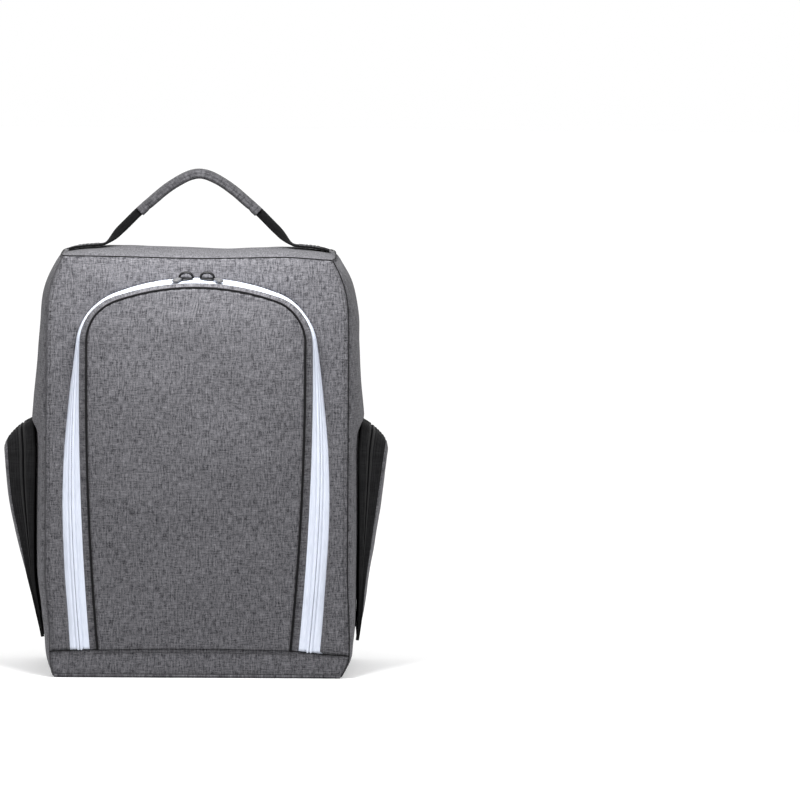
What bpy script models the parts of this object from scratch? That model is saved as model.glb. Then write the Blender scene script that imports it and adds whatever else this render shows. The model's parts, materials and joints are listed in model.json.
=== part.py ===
"""Upright zip-up shoe bag: a leaning fabric box with a drop-down front door, two bulging side
pockets and a grab handle on top.

Metres, +Z up. The bag stands on z = 0, its front faces -Y and it is symmetric about x = 0.
The door hangs on the seam at the top of the bottom band and stands almost upright, while the
front panel leans back, so the door's rim stands further and further proud of it towards the
top. A band of fabric and the main zip's tapes bridge that step.
"""
import math

import bmesh
import bpy
from mathutils import Matrix, Vector

for old_object in list(bpy.data.objects):
    bpy.data.objects.remove(old_object)

# ---- driving dimensions -------------------------------------------------------------------
GAP = 0.0003                 # clearance between sewn pieces
FOLD_GAP = 0.0006            # the same where two strips meet at an angle
SKIN = 0.0025                # padded panel: fabric, foam and backing
FABRIC = 0.0012              # unpadded double layer of fabric
TAPE = 0.0010                # zip tape

BASE_HALF_WIDTH = 0.119      # at the floor
SEAM_HALF_WIDTH = 0.126      # at the upright seams between front, sides and back
TOP_HALF_WIDTH = 0.112       # at the top seam
FRONT_Y = -0.0825            # front of the base
BACK_Y = 0.0825              # back of the base
FRONT_LEAN = 0.089           # how far the front panel leans back, per height above the band
BACK_LEAN = 0.020            # how far the back panel leans forward, per height
BAND_TOP = 0.0230            # top of the bottom band, where the door hangs
SHOULDER = 0.309             # the upright seams turn inward above this height
TOP_SEAM = 0.3500            # height of the seam round the top panel
TOP_CROWN = 0.0045           # how far the top panel's middle stands above that seam
SIDE_BULGE = 0.0095          # how far a side panel swells beyond its seams
TOP_BULGE = 0.0035           # what is left of that swelling at the top seam
BULGE_HEIGHT = 0.170         # height of the widest place

DOOR_FRONT_Y = -0.0845       # outer face of the door
DOOR_SKIN = 0.0030
DOOR_HALF_WIDTH = 0.091      # at the widest place
DOOR_TOP = 0.325
DOOR_CORNER = 0.038          # radius of the two upper corners
DOOR_WIDE_FROM = 0.250       # the sides are straight above this and draw in below it
DOOR_SIDE_RADIUS = 2.408     # of the long side curves
DOOR_CORNER_HEIGHT = 0.2775  # height of the corner's centre

GUSSET_WIDTH = 0.0066        # fabric band between the door's edge and the zip
ZIP_WIDTH = 0.0195           # both halves of the main zip together
ZIP_LEAST_SPREAD = 0.0030
ZIP_MOST_SPREAD = 0.0175

POCKET_MIDDLE_Y = 0.005
POCKET_HALF_DEPTH = 0.050
POCKET_BOTTOM = 0.040
POCKET_TOP = 0.214
POCKET_CORNER = 0.030        # radius of the upper corners on the side panel
POCKET_FOOT_X = 0.129        # the outer face's plane, carried down to the floor
POCKET_SPLAY = 0.165         # how far it leans out, per height
POCKET_ROUNDING = 0.024      # how far the outer face is inset from the base outline
POCKET_ZIP = 0.36            # place of the zip between the side panel and the outer face
POCKET_TAPE = 0.13           # width of each half of that zip, in the same measure
POCKET_RIM = 0.87            # where the grey outer face starts

HANDLE_Y = 0.011             # middle of the top panel, front to back
HANDLE_PIVOT_Z = 0.3583      # the legs bend where they leave the top panel
WEBBING_WIDTH = 0.022
WEBBING_THICKNESS = 0.0015
# The handle's centre line in the XZ plane, from its foot on the right side to the crown.
HANDLE_ROUTE = (
    (0.0760, 0.3590),
    (0.0630, 0.3705),
    (0.0500, 0.3825),
    (0.0260, 0.4035),
    (0.0110, 0.4125),
    (0.0000, 0.4145),
)
GRIP_END_X = 0.050           # the wrapped grip ends here on both sides

SLIDER_HALF_LENGTH = 0.0065
SLIDER_HALF_WIDTH = 0.0040
SLIDER_X = 0.0085            # each main slider's distance from the middle when shut
SLIDER_LIFT = 0.0005
PULL_PIVOT = (0.0026, 0.0028)  # along the slider and above its foot
POCKET_SLIDER_Z = 0.168      # height of each pocket slider when shut
MAIN_TAB_LENGTH = 0.0125
POCKET_TAB_LENGTH = 0.0160
COIL_WIDTH = 0.0017
COIL_THICKNESS = 0.0012
LINER = 0.0008               # lining fabric
BOARD_THICKNESS = 0.0020
DOOR_HINGE_Y = -0.0830

MIDDLE = Vector((0.0, 0.0, 0.18))


# ---- materials ----------------------------------------------------------------------------
def make_material(name, colour, roughness, metallic=0.0):
    material = bpy.data.materials.new(name)
    material.use_nodes = True
    shader = material.node_tree.nodes["Principled BSDF"]
    shader.inputs["Base Color"].default_value = (*colour, 1.0)
    shader.inputs["Roughness"].default_value = roughness
    shader.inputs["Metallic"].default_value = metallic
    return material


HEATHER = make_material("heather_fabric", (0.17, 0.17, 0.18), 0.9)
BLACK = make_material("black_webbing", (0.02, 0.02, 0.022), 0.8)
LINING = make_material("lining_fabric", (0.06, 0.06, 0.065), 0.7)
WHITE = make_material("white_zip_tape", (0.72, 0.76, 0.86), 0.7)
COIL = make_material("zip_coil", (0.65, 0.68, 0.75), 0.4)
BLACK_COIL = make_material("black_zip_coil", (0.015, 0.015, 0.015), 0.4)
METAL = make_material("black_metal", (0.03, 0.03, 0.03), 0.35, 0.8)
TAB = make_material("pull_tab", (0.45, 0.45, 0.47), 0.5)
BOARD = make_material("base_board", (0.05, 0.05, 0.05), 0.5)


# ---- shape of the body --------------------------------------------------------------------
def smooth(value):
    value = min(max(value, 0.0), 1.0)
    return value * value * (3.0 - 2.0 * value)


def spread(first, last, steps):
    return [first + (last - first) * i / steps for i in range(steps + 1)]


def front_y(z):
    return FRONT_Y + FRONT_LEAN * max(z - BAND_TOP, 0.0)


def back_y(z):
    return BACK_Y - BACK_LEAN * z


def seam_half_width(z):
    if z < BAND_TOP:
        return SEAM_HALF_WIDTH - (SEAM_HALF_WIDTH - BASE_HALF_WIDTH) * (1.0 - z / BAND_TOP) ** 2
    turn = max(z - SHOULDER, 0.0) / (TOP_SEAM - SHOULDER)
    return SEAM_HALF_WIDTH - (SEAM_HALF_WIDTH - TOP_HALF_WIDTH) * turn ** 2


def side_bulge(z):
    if z < BULGE_HEIGHT:
        return SIDE_BULGE * (1.0 - (1.0 - z / BULGE_HEIGHT) ** 4)
    fade = smooth((z - BULGE_HEIGHT) / (TOP_SEAM - BULGE_HEIGHT))
    return SIDE_BULGE + (TOP_BULGE - SIDE_BULGE) * fade


def side_x(y, z):
    """Outer face of the side panel on the +X side."""
    middle = (front_y(z) + back_y(z)) / 2
    across = (y - middle) / ((back_y(z) - front_y(z)) / 2)
    return seam_half_width(z) + side_bulge(z) * max(1.0 - across ** 4, 0.0)


def top_z(x, y):
    """Outer face of the top panel."""
    middle = (front_y(TOP_SEAM) + back_y(TOP_SEAM)) / 2
    depth = (back_y(TOP_SEAM) - front_y(TOP_SEAM)) / 2
    along = abs(x) / TOP_HALF_WIDTH
    across = (y - middle) / depth
    return TOP_SEAM + TOP_CROWN * max(1.0 - along ** 6, 0.0) * max(1.0 - across ** 2, 0.0)


# ---- mesh helpers -------------------------------------------------------------------------
def add_object(name, mesh, material):
    thing = bpy.data.objects.new(name, mesh)
    thing.data.materials.append(material)
    bpy.context.scene.collection.objects.link(thing)
    return thing


def face_outward(bm, inside):
    """Turn every face round if the first one looks towards the point inside."""
    bm.normal_update()
    bm.faces.ensure_lookup_table()
    first = bm.faces[0]
    if first.normal.dot(first.calc_center_median() - inside) < 0.0:
        bmesh.ops.reverse_faces(bm, faces=bm.faces[:])


def thicken(thing, thickness):
    layer = thing.modifiers.new("thickness", "SOLIDIFY")
    layer.thickness = thickness
    layer.offset = -1.0
    return thing


def add_sheet(name, rows, material, thickness, inside=MIDDLE):
    """A sheet through rows of points, thickened towards the point inside."""
    bm = bmesh.new()
    grid = [[bm.verts.new(point) for point in row] for row in rows]
    for near, far in zip(grid, grid[1:]):
        for i in range(len(near) - 1):
            bm.faces.new((near[i], near[i + 1], far[i + 1], far[i]))
    face_outward(bm, inside)
    mesh = bpy.data.meshes.new(name)
    bm.to_mesh(mesh)
    bm.free()
    mesh.shade_smooth()
    return thicken(add_object(name, mesh, material), thickness)


def add_plate(name, outline, material, thickness, inside=MIDDLE):
    """A flat plate with the given outline, thickened towards the point inside."""
    bm = bmesh.new()
    bm.faces.new([bm.verts.new(point) for point in outline])
    face_outward(bm, inside)
    mesh = bpy.data.meshes.new(name)
    bm.to_mesh(mesh)
    bm.free()
    return thicken(add_object(name, mesh, material), thickness)


def add_tube(name, points, radius, material):
    curve = bpy.data.curves.new(name, "CURVE")
    curve.dimensions = "3D"
    curve.bevel_depth = radius
    curve.bevel_resolution = 2
    curve.use_fill_caps = True
    spline = curve.splines.new("POLY")
    spline.points.add(len(points) - 1)
    for knot, point in zip(spline.points, points):
        knot.co = (*point, 1.0)
    return add_object(name, curve, material)


def loft(name, rings, material):
    """A closed body through rings of points, with a flat cap on each end."""
    bm = bmesh.new()
    loops = [[bm.verts.new(point) for point in ring] for ring in rings]
    count = len(loops[0])
    for near, far in zip(loops, loops[1:]):
        for i in range(count):
            j = (i + 1) % count
            bm.faces.new((near[i], near[j], far[j], far[i]))
    bm.faces.new(loops[0])
    bm.faces.new(loops[-1])
    bmesh.ops.recalc_face_normals(bm, faces=bm.faces[:])
    mesh = bpy.data.meshes.new(name)
    bm.to_mesh(mesh)
    bm.free()
    return add_object(name, mesh, material)


# ---- the main box -------------------------------------------------------------------------
def body_levels():
    """Heights of the rows across the side and back panels."""
    low = spread(BAND_TOP, SHOULDER, 7)
    return [SKIN + GAP, 0.010] + low + [0.322, 0.334, 0.342, TOP_SEAM - SKIN - GAP]


def add_side_panel(name, side):
    rows = []
    for z in body_levels():
        ahead = front_y(z) + SKIN + GAP
        behind = back_y(z) - SKIN - GAP
        rows.append([(side * side_x(y, z), y, z) for y in spread(ahead, behind, 10)])
    return add_sheet(name, rows, HEATHER, SKIN)


def add_back_panel():
    outline = [(seam_half_width(z), back_y(z), z) for z in body_levels()]
    outline += [(-x, y, z) for x, y, z in reversed(outline)]
    return add_plate("back_panel", outline, HEATHER, SKIN)


def add_front_panel():
    """The leaning frame round the door: two legs and a yoke, cut out along the zip's edge."""
    levels = [z for z in body_levels() if z >= BAND_TOP]
    outer = [(seam_half_width(z), front_y(z), z) for z in levels]
    outer += [(-x, y, z) for x, y, z in reversed(outer)]
    opening = []
    for station in door_stations():
        edge = zip_section(station)[2]
        point = section_point(station, edge[0] + GAP, 0.0)
        opening.append((point.x, front_y(point.z), max(point.z, BAND_TOP)))
    return add_plate("front_panel", outer + opening, HEATHER, SKIN)


def add_top_panel():
    depth = back_y(TOP_SEAM) - front_y(TOP_SEAM)
    rows = []
    for y in spread(front_y(TOP_SEAM), back_y(TOP_SEAM), 8):
        across = 2.0 * (y - front_y(TOP_SEAM)) / depth - 1.0
        reach = TOP_HALF_WIDTH + TOP_BULGE * (1.0 - across ** 4)
        shares = [math.sin(math.radians(angle)) for angle in spread(-90, 90, 14)]
        rows.append([(share * reach, y, top_z(share * reach, y)) for share in shares])
    return add_sheet("top_panel", rows, HEATHER, SKIN)


def rectangle(half_width, near, far, z):
    return [(-half_width, near, z), (half_width, near, z), (half_width, far, z), (-half_width, far, z)]


def add_base():
    add_plate("base_panel", rectangle(BASE_HALF_WIDTH, FRONT_Y, BACK_Y, 0.0), HEATHER, SKIN)
    board_bottom = SKIN + GAP
    outline = rectangle(BASE_HALF_WIDTH - 0.006, FRONT_Y + 0.007, BACK_Y - 0.007, board_bottom)
    add_plate("base_board", outline, BOARD, BOARD_THICKNESS)
    levels = spread(SKIN + GAP, BAND_TOP - GAP, 4)
    band = [(seam_half_width(z), FRONT_Y, z) for z in levels]
    band += [(-x, y, z) for x, y, z in reversed(band)]
    add_plate("front_base_band", band, HEATHER, SKIN)


def add_lining():
    """A thin box inside the panels, open to the front."""
    bottom = SKIN + GAP + BOARD_THICKNESS + GAP
    levels = [bottom, 0.012, BAND_TOP, SHOULDER, 0.325, 0.338, TOP_SEAM - SKIN - 2 * GAP]
    inset = SKIN + 2 * GAP
    bm = bmesh.new()
    rows = []
    for z in levels:
        half = seam_half_width(z) - inset
        ahead = front_y(z) + inset
        behind = back_y(z) - inset
        corners = ((-half, ahead), (-half, behind), (half, behind), (half, ahead))
        rows.append([bm.verts.new((x, y, z)) for x, y in corners])
    for low, high in zip(rows, rows[1:]):
        for i in range(3):
            bm.faces.new((low[i], low[i + 1], high[i + 1], high[i]))
    bm.faces.new(rows[-1])
    bm.faces.new(list(reversed(rows[0])))
    bmesh.ops.recalc_face_normals(bm, faces=bm.faces[:])
    face_outward(bm, MIDDLE)
    mesh = bpy.data.meshes.new("main_lining")
    bm.to_mesh(mesh)
    bm.free()
    thicken(add_object("main_lining", mesh, LINING), LINER)


# ---- the door and the main zip ------------------------------------------------------------
def top_arc():
    """Radius of the door's top edge and the half angle it covers between the corners."""
    corner_x = DOOR_HALF_WIDTH - DOOR_CORNER
    drop = DOOR_TOP - DOOR_CORNER_HEIGHT
    radius = (corner_x ** 2 + drop ** 2 - DOOR_CORNER ** 2) / (2.0 * (drop - DOOR_CORNER))
    angle = math.atan2(corner_x, DOOR_CORNER_HEIGHT - (DOOR_TOP - radius))
    return radius, angle


ARC_RADIUS, ARC_ANGLE = top_arc()
ARC_CENTRE_Z = DOOR_TOP - ARC_RADIUS


def side_station(z):
    drop = max(DOOR_WIDE_FROM - z, 0.0)
    x = DOOR_HALF_WIDTH - drop ** 2 / (2.0 * DOOR_SIDE_RADIUS)
    return Vector((x, 0.0, z)), Vector((1.0, 0.0, 0.0))


def arc_station(centre, radius, angle):
    """A station at an angle from +Z on an arc, with its outward direction."""
    outward = Vector((math.sin(angle), 0.0, math.cos(angle)))
    return centre + radius * outward, outward


def door_stations():
    """Points along the door's edge with their outward directions, left foot to right foot."""
    right = [side_station(z) for z in spread(BAND_TOP + GAP, DOOR_WIDE_FROM, 9)]
    corner = Vector((DOOR_HALF_WIDTH - DOOR_CORNER, 0.0, DOOR_CORNER_HEIGHT))
    for angle in spread(math.pi / 2, ARC_ANGLE, 7):
        right.append(arc_station(corner, DOOR_CORNER, angle))
    crown = Vector((0.0, 0.0, ARC_CENTRE_Z))
    for angle in spread(ARC_ANGLE, 0.0, 4)[1:]:
        right.append(arc_station(crown, ARC_RADIUS, angle))
    left = [(Vector((-p.x, 0.0, p.z)), Vector((-n.x, 0.0, n.z))) for p, n in right[:-1]]
    return left + right[::-1]


def zip_section(station):
    """Where the band and the zip lie beside the door's edge, as (outward, y) pairs.

    The three pairs are the band's start, the band's end and the front panel's edge.
    """
    point, outward = station
    upper = smooth((point.z - 0.280) / 0.032)
    band_end = 0.006 - 0.003 * upper
    start = (0.0004, DOOR_FRONT_Y + 0.0022)
    step = front_y(point.z) + 0.001 - start[1]
    band_step = math.sqrt(GUSSET_WIDTH ** 2 - (band_end - start[0]) ** 2)
    band_y = start[1] + min(band_step, 0.3 * step + 0.0002)
    depth = start[1] + step - band_y
    room = ZIP_WIDTH ** 2 - depth ** 2
    reach = math.sqrt(max(room, ZIP_LEAST_SPREAD ** 2))
    edge = band_end + min(reach, ZIP_MOST_SPREAD)
    return start, (band_end, band_y), (edge, front_y(point.z + outward.z * edge) + 0.001)


def section_point(station, outward, y):
    point, direction = station
    place = point + direction * outward
    return Vector((place.x, y, place.z))


def along_section(near, far, distance, sink=0.0):
    """The pair at a distance from near towards far, sunk below the outer face."""
    step = Vector((far[0] - near[0], far[1] - near[1])).normalized()
    face = Vector((step.y, -step.x))
    place = Vector(near) + step * distance - face * sink
    return place.x, place.y


def zip_line(station, part, distance, sink=0.0):
    """A point on the band (part 0) or across the zip (part 1), measured from its door side."""
    section = zip_section(station)
    return section_point(station, *along_section(section[part], section[part + 1], distance, sink))


def part_width(station, part):
    section = zip_section(station)
    return math.dist(section[part], section[part + 1])


def add_zip_strip(name, material, part, start, end, thickness, sink=0.0):
    """A strip along the whole zip; start and end turn its width at a station into distances."""
    rows = []
    for station in door_stations():
        width = part_width(station, part)
        rows.append([zip_line(station, part, place(width), sink) for place in (start, end)])
    return add_sheet(name, rows, material, thickness)


def add_main_zip():
    add_zip_strip("door_gusset", HEATHER, 0, lambda w: 0.0, lambda w: w - FOLD_GAP, FABRIC)
    add_zip_strip("zip_tape_door", WHITE, 1, lambda w: FOLD_GAP, lambda w: w / 2 - GAP / 2, TAPE)
    add_zip_strip("zip_tape_bag", WHITE, 1, lambda w: w / 2 + GAP / 2, lambda w: w - GAP, TAPE)
    sink = TAPE + 2 * GAP
    far = GAP + COIL_WIDTH
    add_zip_strip(
        "zip_coil_door", COIL, 1, lambda w: w / 2 - far, lambda w: w / 2 - GAP, COIL_THICKNESS, sink
    )
    add_zip_strip(
        "zip_coil_bag", COIL, 1, lambda w: w / 2 + GAP, lambda w: w / 2 + far, COIL_THICKNESS, sink
    )


def add_door():
    edge = 0.0018
    for name, material, front, thickness, inset in (
        ("door_panel", HEATHER, DOOR_FRONT_Y, DOOR_SKIN, edge),
        ("door_lining", LINING, DOOR_FRONT_Y + DOOR_SKIN + GAP, LINER, edge + LINER),
    ):
        outline = [section_point(station, -inset, front) for station in door_stations()]
        add_plate(name, outline, material, thickness)
    piping = [section_point(station, -0.0006, DOOR_FRONT_Y + 0.0009) for station in door_stations()]
    add_tube("door_piping", piping, 0.0009, BLACK)


# ---- sliders and pulls --------------------------------------------------------------------
def slider_frame(origin, along, up):
    """A frame at the slider's foot: X towards its pull, Z out of the tape."""
    z_axis = (up - along * up.dot(along)).normalized()
    y_axis = z_axis.cross(along)
    frame = Matrix((along, y_axis, z_axis)).transposed().to_4x4()
    frame.translation = origin + z_axis * SLIDER_LIFT
    return frame


def extrude_profile(bm, profile, half_width):
    """A closed bar: a profile in the XZ plane carried along Y."""
    near = [bm.verts.new((x, -half_width, z)) for x, z in profile]
    far = [bm.verts.new((x, half_width, z)) for x, z in profile]
    count = len(profile)
    faces = [bm.faces.new(near), bm.faces.new(list(reversed(far)))]
    for i in range(count):
        j = (i + 1) % count
        faces.append(bm.faces.new((near[j], near[i], far[i], far[j])))
    bmesh.ops.recalc_face_normals(bm, faces=faces)


def profile_object(name, profile, half_width, material, frame):
    bm = bmesh.new()
    extrude_profile(bm, profile, half_width)
    mesh = bpy.data.meshes.new(name)
    bm.to_mesh(mesh)
    bm.free()
    thing = add_object(name, mesh, material)
    thing.matrix_world = frame
    return thing


def half_ellipse(half_length, height, foot, steps):
    angles = spread(0.0, math.pi, steps)
    return [(half_length * math.cos(a), foot + height * math.sin(a)) for a in angles]


def add_slider(name, frame, material):
    """A slider body with an arched bridge that the pull's ring hooks under."""
    length = SLIDER_HALF_LENGTH
    body = [(-length, 0.0), (length, 0.0), (length, 0.0014), (length - 0.0008, 0.0020)]
    body += [(-x, z) for x, z in reversed(body[2:])]
    slider = profile_object(name, body, SLIDER_HALF_WIDTH, material, frame)
    outer = half_ellipse(length - 0.0003, 0.0041, 0.0015, 12)
    inner = half_ellipse(length - 0.0017, 0.0029, 0.0015, 12)
    bridge = profile_object(name + "_bridge", outer + inner[::-1], 0.0013, material, frame)
    bridge.hide_render = True
    bridge.display_type = "WIRE"
    union = slider.modifiers.new("bridge", "BOOLEAN")
    union.operation = "UNION"
    union.object = bridge
    return slider


def add_pull(name, frame, tab_length):
    """The pull's metal ring, hooked under the bridge, and its flat moulded tab."""
    pivot = frame @ Matrix.Translation((PULL_PIVOT[0], 0.0, PULL_PIVOT[1]))
    bm = bmesh.new()
    outer = [(-0.0005, -0.0027), (0.0062, -0.0027), (0.0062, 0.0027), (-0.0005, 0.0027)]
    inner = [(0.0005, -0.0017), (0.0052, -0.0017), (0.0052, 0.0017), (0.0005, 0.0017)]
    levels = []
    for z in (-0.0005, 0.0005):
        levels.append([[bm.verts.new((x, y, z)) for x, y in loop] for loop in (outer, inner)])
    for i in range(4):
        j = (i + 1) % 4
        for loop in (0, 1):
            bm.faces.new((levels[0][loop][i], levels[0][loop][j], levels[1][loop][j], levels[1][loop][i]))
        for level in (0, 1):
            bm.faces.new((levels[level][0][i], levels[level][0][j], levels[level][1][j], levels[level][1][i]))
    bmesh.ops.recalc_face_normals(bm, faces=bm.faces[:])
    mesh = bpy.data.meshes.new(name + "_ring")
    bm.to_mesh(mesh)
    bm.free()
    ring = add_object(name + "_ring", mesh, METAL)
    ring.matrix_world = pivot
    start = 0.0065
    end = start + tab_length
    profile = [(start, -0.0009), (end, -0.0007), (end, 0.0007), (start, 0.0009)]
    profile_object(name + "_tab", profile, 0.0028, TAB, pivot)


def main_slider_frame(side):
    radius = ARC_RADIUS
    station = arc_station(Vector((0.0, 0.0, ARC_CENTRE_Z)), radius, side * math.asin(SLIDER_X / radius))
    origin = zip_line(station, 1, part_width(station, 1) / 2)
    across = zip_line(station, 1, 0.001) - zip_line(station, 1, 0.0)
    along = Vector((station[1].z, 0.0, -station[1].x)) * side
    up = across.cross(along) * side
    return slider_frame(origin, along, up if up.z > 0.0 else -up)


# ---- side pockets -------------------------------------------------------------------------
def pocket_face_x(z):
    return POCKET_FOOT_X + POCKET_SPLAY * z


def pocket_stations():
    """Points of the base outline on the side panel as (y, z) with outward directions."""
    stations = []
    edge = POCKET_MIDDLE_Y - POCKET_HALF_DEPTH
    for z in spread(POCKET_BOTTOM, POCKET_TOP - POCKET_CORNER, 5)[:-1]:
        stations.append(((edge, z), (-1.0, 0.0)))
    for angle in spread(math.pi, math.pi / 2, 6):
        direction = (math.cos(angle), math.sin(angle))
        y = edge + POCKET_CORNER + POCKET_CORNER * direction[0]
        z = POCKET_TOP - POCKET_CORNER + POCKET_CORNER * direction[1]
        stations.append(((y, z), direction))
    mirrored = [((2 * POCKET_MIDDLE_Y - y, z), (-dy, dz)) for (y, z), (dy, dz) in stations]
    return stations + mirrored[::-1]


def pocket_height(station):
    """How far the outer face stands off the side panel at a station."""
    (y, z), _ = station
    return pocket_face_x(z) - side_x(y, z)


def pocket_point(side, station, share):
    """A point between the side panel (share 0) and the outer face (share 1)."""
    (y, z), (out_y, out_z) = station
    foot = side_x(y, z) + GAP
    rounding = min(POCKET_ROUNDING, pocket_height(station))
    inset = rounding * (1.0 - math.sqrt(max(1.0 - share * share, 0.0)))
    place_z = z - out_z * inset
    x = foot + (pocket_face_x(place_z) - foot) * share
    return Vector((side * x, y - out_y * inset, place_z))


def add_pocket_strip(name, side, first, last, material, thickness, columns, end_gap=GAP / 2):
    rows = []
    for station in pocket_stations():
        height = pocket_height(station)
        shares = spread(first + GAP / height, last - end_gap / height, columns)
        rows.append([pocket_point(side, station, share) for share in shares])
    inside = Vector((side * 0.120, POCKET_MIDDLE_Y, 0.120))
    return add_sheet(name, rows, material, thickness, inside)


def add_pocket_face(name, side):
    """The grey outer face: a rounded rim and a flat middle."""
    bm = bmesh.new()
    rings = []
    for share in (POCKET_RIM, 0.95, 1.0):
        points = [pocket_point(side, station, share) for station in pocket_stations()]
        rings.append([bm.verts.new(point) for point in points])
    for near, far in zip(rings, rings[1:]):
        for i in range(len(near) - 1):
            bm.faces.new((near[i], near[i + 1], far[i + 1], far[i]))
    bm.faces.new(rings[-1])
    bmesh.ops.recalc_face_normals(bm, faces=bm.faces[:])
    face_outward(bm, Vector((side * 0.120, POCKET_MIDDLE_Y, 0.120)))
    mesh = bpy.data.meshes.new(name)
    bm.to_mesh(mesh)
    bm.free()
    return thicken(add_object(name, mesh, HEATHER), FABRIC)


def pocket_slider_frame(side):
    """The slider's foot on the back run of the zip, with its pull hanging down."""
    back = POCKET_MIDDLE_Y + POCKET_HALF_DEPTH
    high = pocket_point(side, ((back, POCKET_SLIDER_Z), (1.0, 0.0)), POCKET_ZIP)
    low = pocket_point(side, ((back, POCKET_BOTTOM + 0.020), (1.0, 0.0)), POCKET_ZIP)
    travel = Vector((low.x - high.x, 0.0, low.z - high.z)).normalized()
    return slider_frame(Vector((high.x, back, high.z)), travel, Vector((0.0, 1.0, 0.0)))


def add_pocket(word, side):
    bag_tape = POCKET_ZIP - POCKET_TAPE
    flap_tape = POCKET_ZIP + POCKET_TAPE
    prefix = "pocket_" + word
    add_pocket_strip(prefix + "_gusset", side, 0.0, bag_tape, BLACK, FABRIC, 1)
    add_pocket_strip(prefix + "_zip_tape_bag", side, bag_tape, POCKET_ZIP, BLACK_COIL, TAPE, 1)
    add_pocket_strip(prefix + "_zip_tape_flap", side, POCKET_ZIP, flap_tape, BLACK_COIL, TAPE, 1)
    rim = POCKET_RIM
    add_pocket_strip(prefix + "_flap_gusset", side, flap_tape, rim, BLACK, FABRIC, 2, FOLD_GAP)
    add_pocket_face(prefix + "_face", side)
    frame = pocket_slider_frame(side)
    add_slider(prefix + "_slider", frame, METAL)
    add_pull(prefix + "_pull", frame, POCKET_TAB_LENGTH)


# ---- the handle ---------------------------------------------------------------------------
def handle_line():
    """The handle's whole centre line: a smooth curve through the route, mirrored."""
    right = [Vector((x, 0.0, z)) for x, z in HANDLE_ROUTE]
    route = [Vector((-p.x, 0.0, p.z)) for p in right[:-1]] + right[::-1]
    points = []
    for i in range(len(route) - 1):
        before = route[max(i - 1, 0)]
        start, end = route[i], route[i + 1]
        after = route[min(i + 2, len(route) - 1)]
        for t in spread(0.0, 1.0, 3)[:-1]:
            points.append(catmull_rom(before, start, end, after, t))
    points.append(route[-1])
    return points


def catmull_rom(before, start, end, after, t):
    square, cube = t * t, t * t * t
    total = before * (-t + 2 * square - cube) + start * (2 - 5 * square + 3 * cube)
    total += end * (t + 4 * square - 3 * cube) + after * (-square + cube)
    return total / 2


def handle_sections(points, size):
    """Rounded sections across the centre line; size gives (height, depth) at a point."""
    sections = []
    for i, point in enumerate(points):
        ahead = points[min(i + 1, len(points) - 1)]
        tangent = (ahead - points[max(i - 1, 0)]).normalized()
        across = Vector((-tangent.z, 0.0, tangent.x))
        height, depth = size(point)
        ring = []
        for turn in spread(0.0, 2 * math.pi, 12)[:-1]:
            rise = math.copysign(abs(math.sin(turn)) ** 0.7, math.sin(turn)) * height / 2
            along = math.copysign(abs(math.cos(turn)) ** 0.7, math.cos(turn)) * depth / 2
            ring.append(point + across * rise + Vector((0.0, HANDLE_Y + along, 0.0)))
        sections.append(ring)
    return sections


def webbing_size(point):
    """Folded webbing: upright at the feet, flatter inside the grip."""
    inside = smooth((0.062 - abs(point.x)) / 0.020)
    return 0.0085 - 0.0030 * inside, 0.0050 + 0.0040 * inside


def add_handle():
    line = handle_line()
    loft("handle_webbing", handle_sections(line, webbing_size), BLACK)
    grip = [point for point in line if abs(point.x) <= GRIP_END_X + 1e-6]
    outer = handle_sections(grip, lambda point: (0.0092, 0.0150))
    inner = handle_sections(grip, lambda point: (0.0066, 0.0102))
    bm = bmesh.new()
    shells = []
    for rings in (outer, inner):
        shells.append([[bm.verts.new(point) for point in ring] for ring in rings])
    count = len(outer[0])
    for shell in shells:
        for near, far in zip(shell, shell[1:]):
            for i in range(count):
                j = (i + 1) % count
                bm.faces.new((near[i], near[j], far[j], far[i]))
    for end in (0, -1):
        for i in range(count):
            j = (i + 1) % count
            bm.faces.new((shells[0][end][i], shells[0][end][j], shells[1][end][j], shells[1][end][i]))
    bmesh.ops.recalc_face_normals(bm, faces=bm.faces[:])
    mesh = bpy.data.meshes.new("grip_wrap")
    bm.to_mesh(mesh)
    bm.free()
    add_object("grip_wrap", mesh, HEATHER)
    for word, side in (("left", -1), ("right", 1)):
        add_webbing_tail("webbing_tail_" + word, side)


def add_webbing_tail(name, side):
    """The flat end of the webbing, sewn down on the top panel."""
    half = WEBBING_WIDTH / 2
    rows = []
    for x in spread(0.0815, 0.1080, 5):
        edge = []
        for y in spread(HANDLE_Y - half, HANDLE_Y + half, 4):
            edge.append((side * x, y, top_z(x, y) + GAP + WEBBING_THICKNESS))
        rows.append(edge)
    add_sheet(name, rows, BLACK, WEBBING_THICKNESS)


# ---- joints -------------------------------------------------------------------------------
def hang(joint, place, children):
    """An empty on a joint's axis that carries the moving pieces, each where it already is."""
    empty = bpy.data.objects.new(joint, None)
    empty.location = place
    bpy.context.scene.collection.objects.link(empty)
    for name in children:
        child = bpy.data.objects[name]
        child.parent = empty
        child.matrix_parent_inverse = Matrix.Translation(-Vector(place))
    return empty


def pull_place(frame):
    return frame @ Vector((PULL_PIVOT[0], 0.0, PULL_PIVOT[1]))


def hang_pocket(word, side):
    prefix = "pocket_" + word
    foot = (side * (side_x(POCKET_MIDDLE_Y, POCKET_BOTTOM) + GAP), POCKET_MIDDLE_Y, POCKET_BOTTOM)
    flap = [prefix + end for end in ("_zip_tape_flap", "_flap_gusset", "_face")]
    hang("pocket_flap_" + word + "_hinge", foot, flap)
    frame = pocket_slider_frame(side)
    pull = "side_pull_" + word + "_hinge"
    hang(pull, pull_place(frame), (prefix + "_pull_ring", prefix + "_pull_tab"))
    slider = prefix + "_slider"
    hang("side_slider_" + word + "_travel", frame.translation, (slider, slider + "_bridge", pull))


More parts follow.
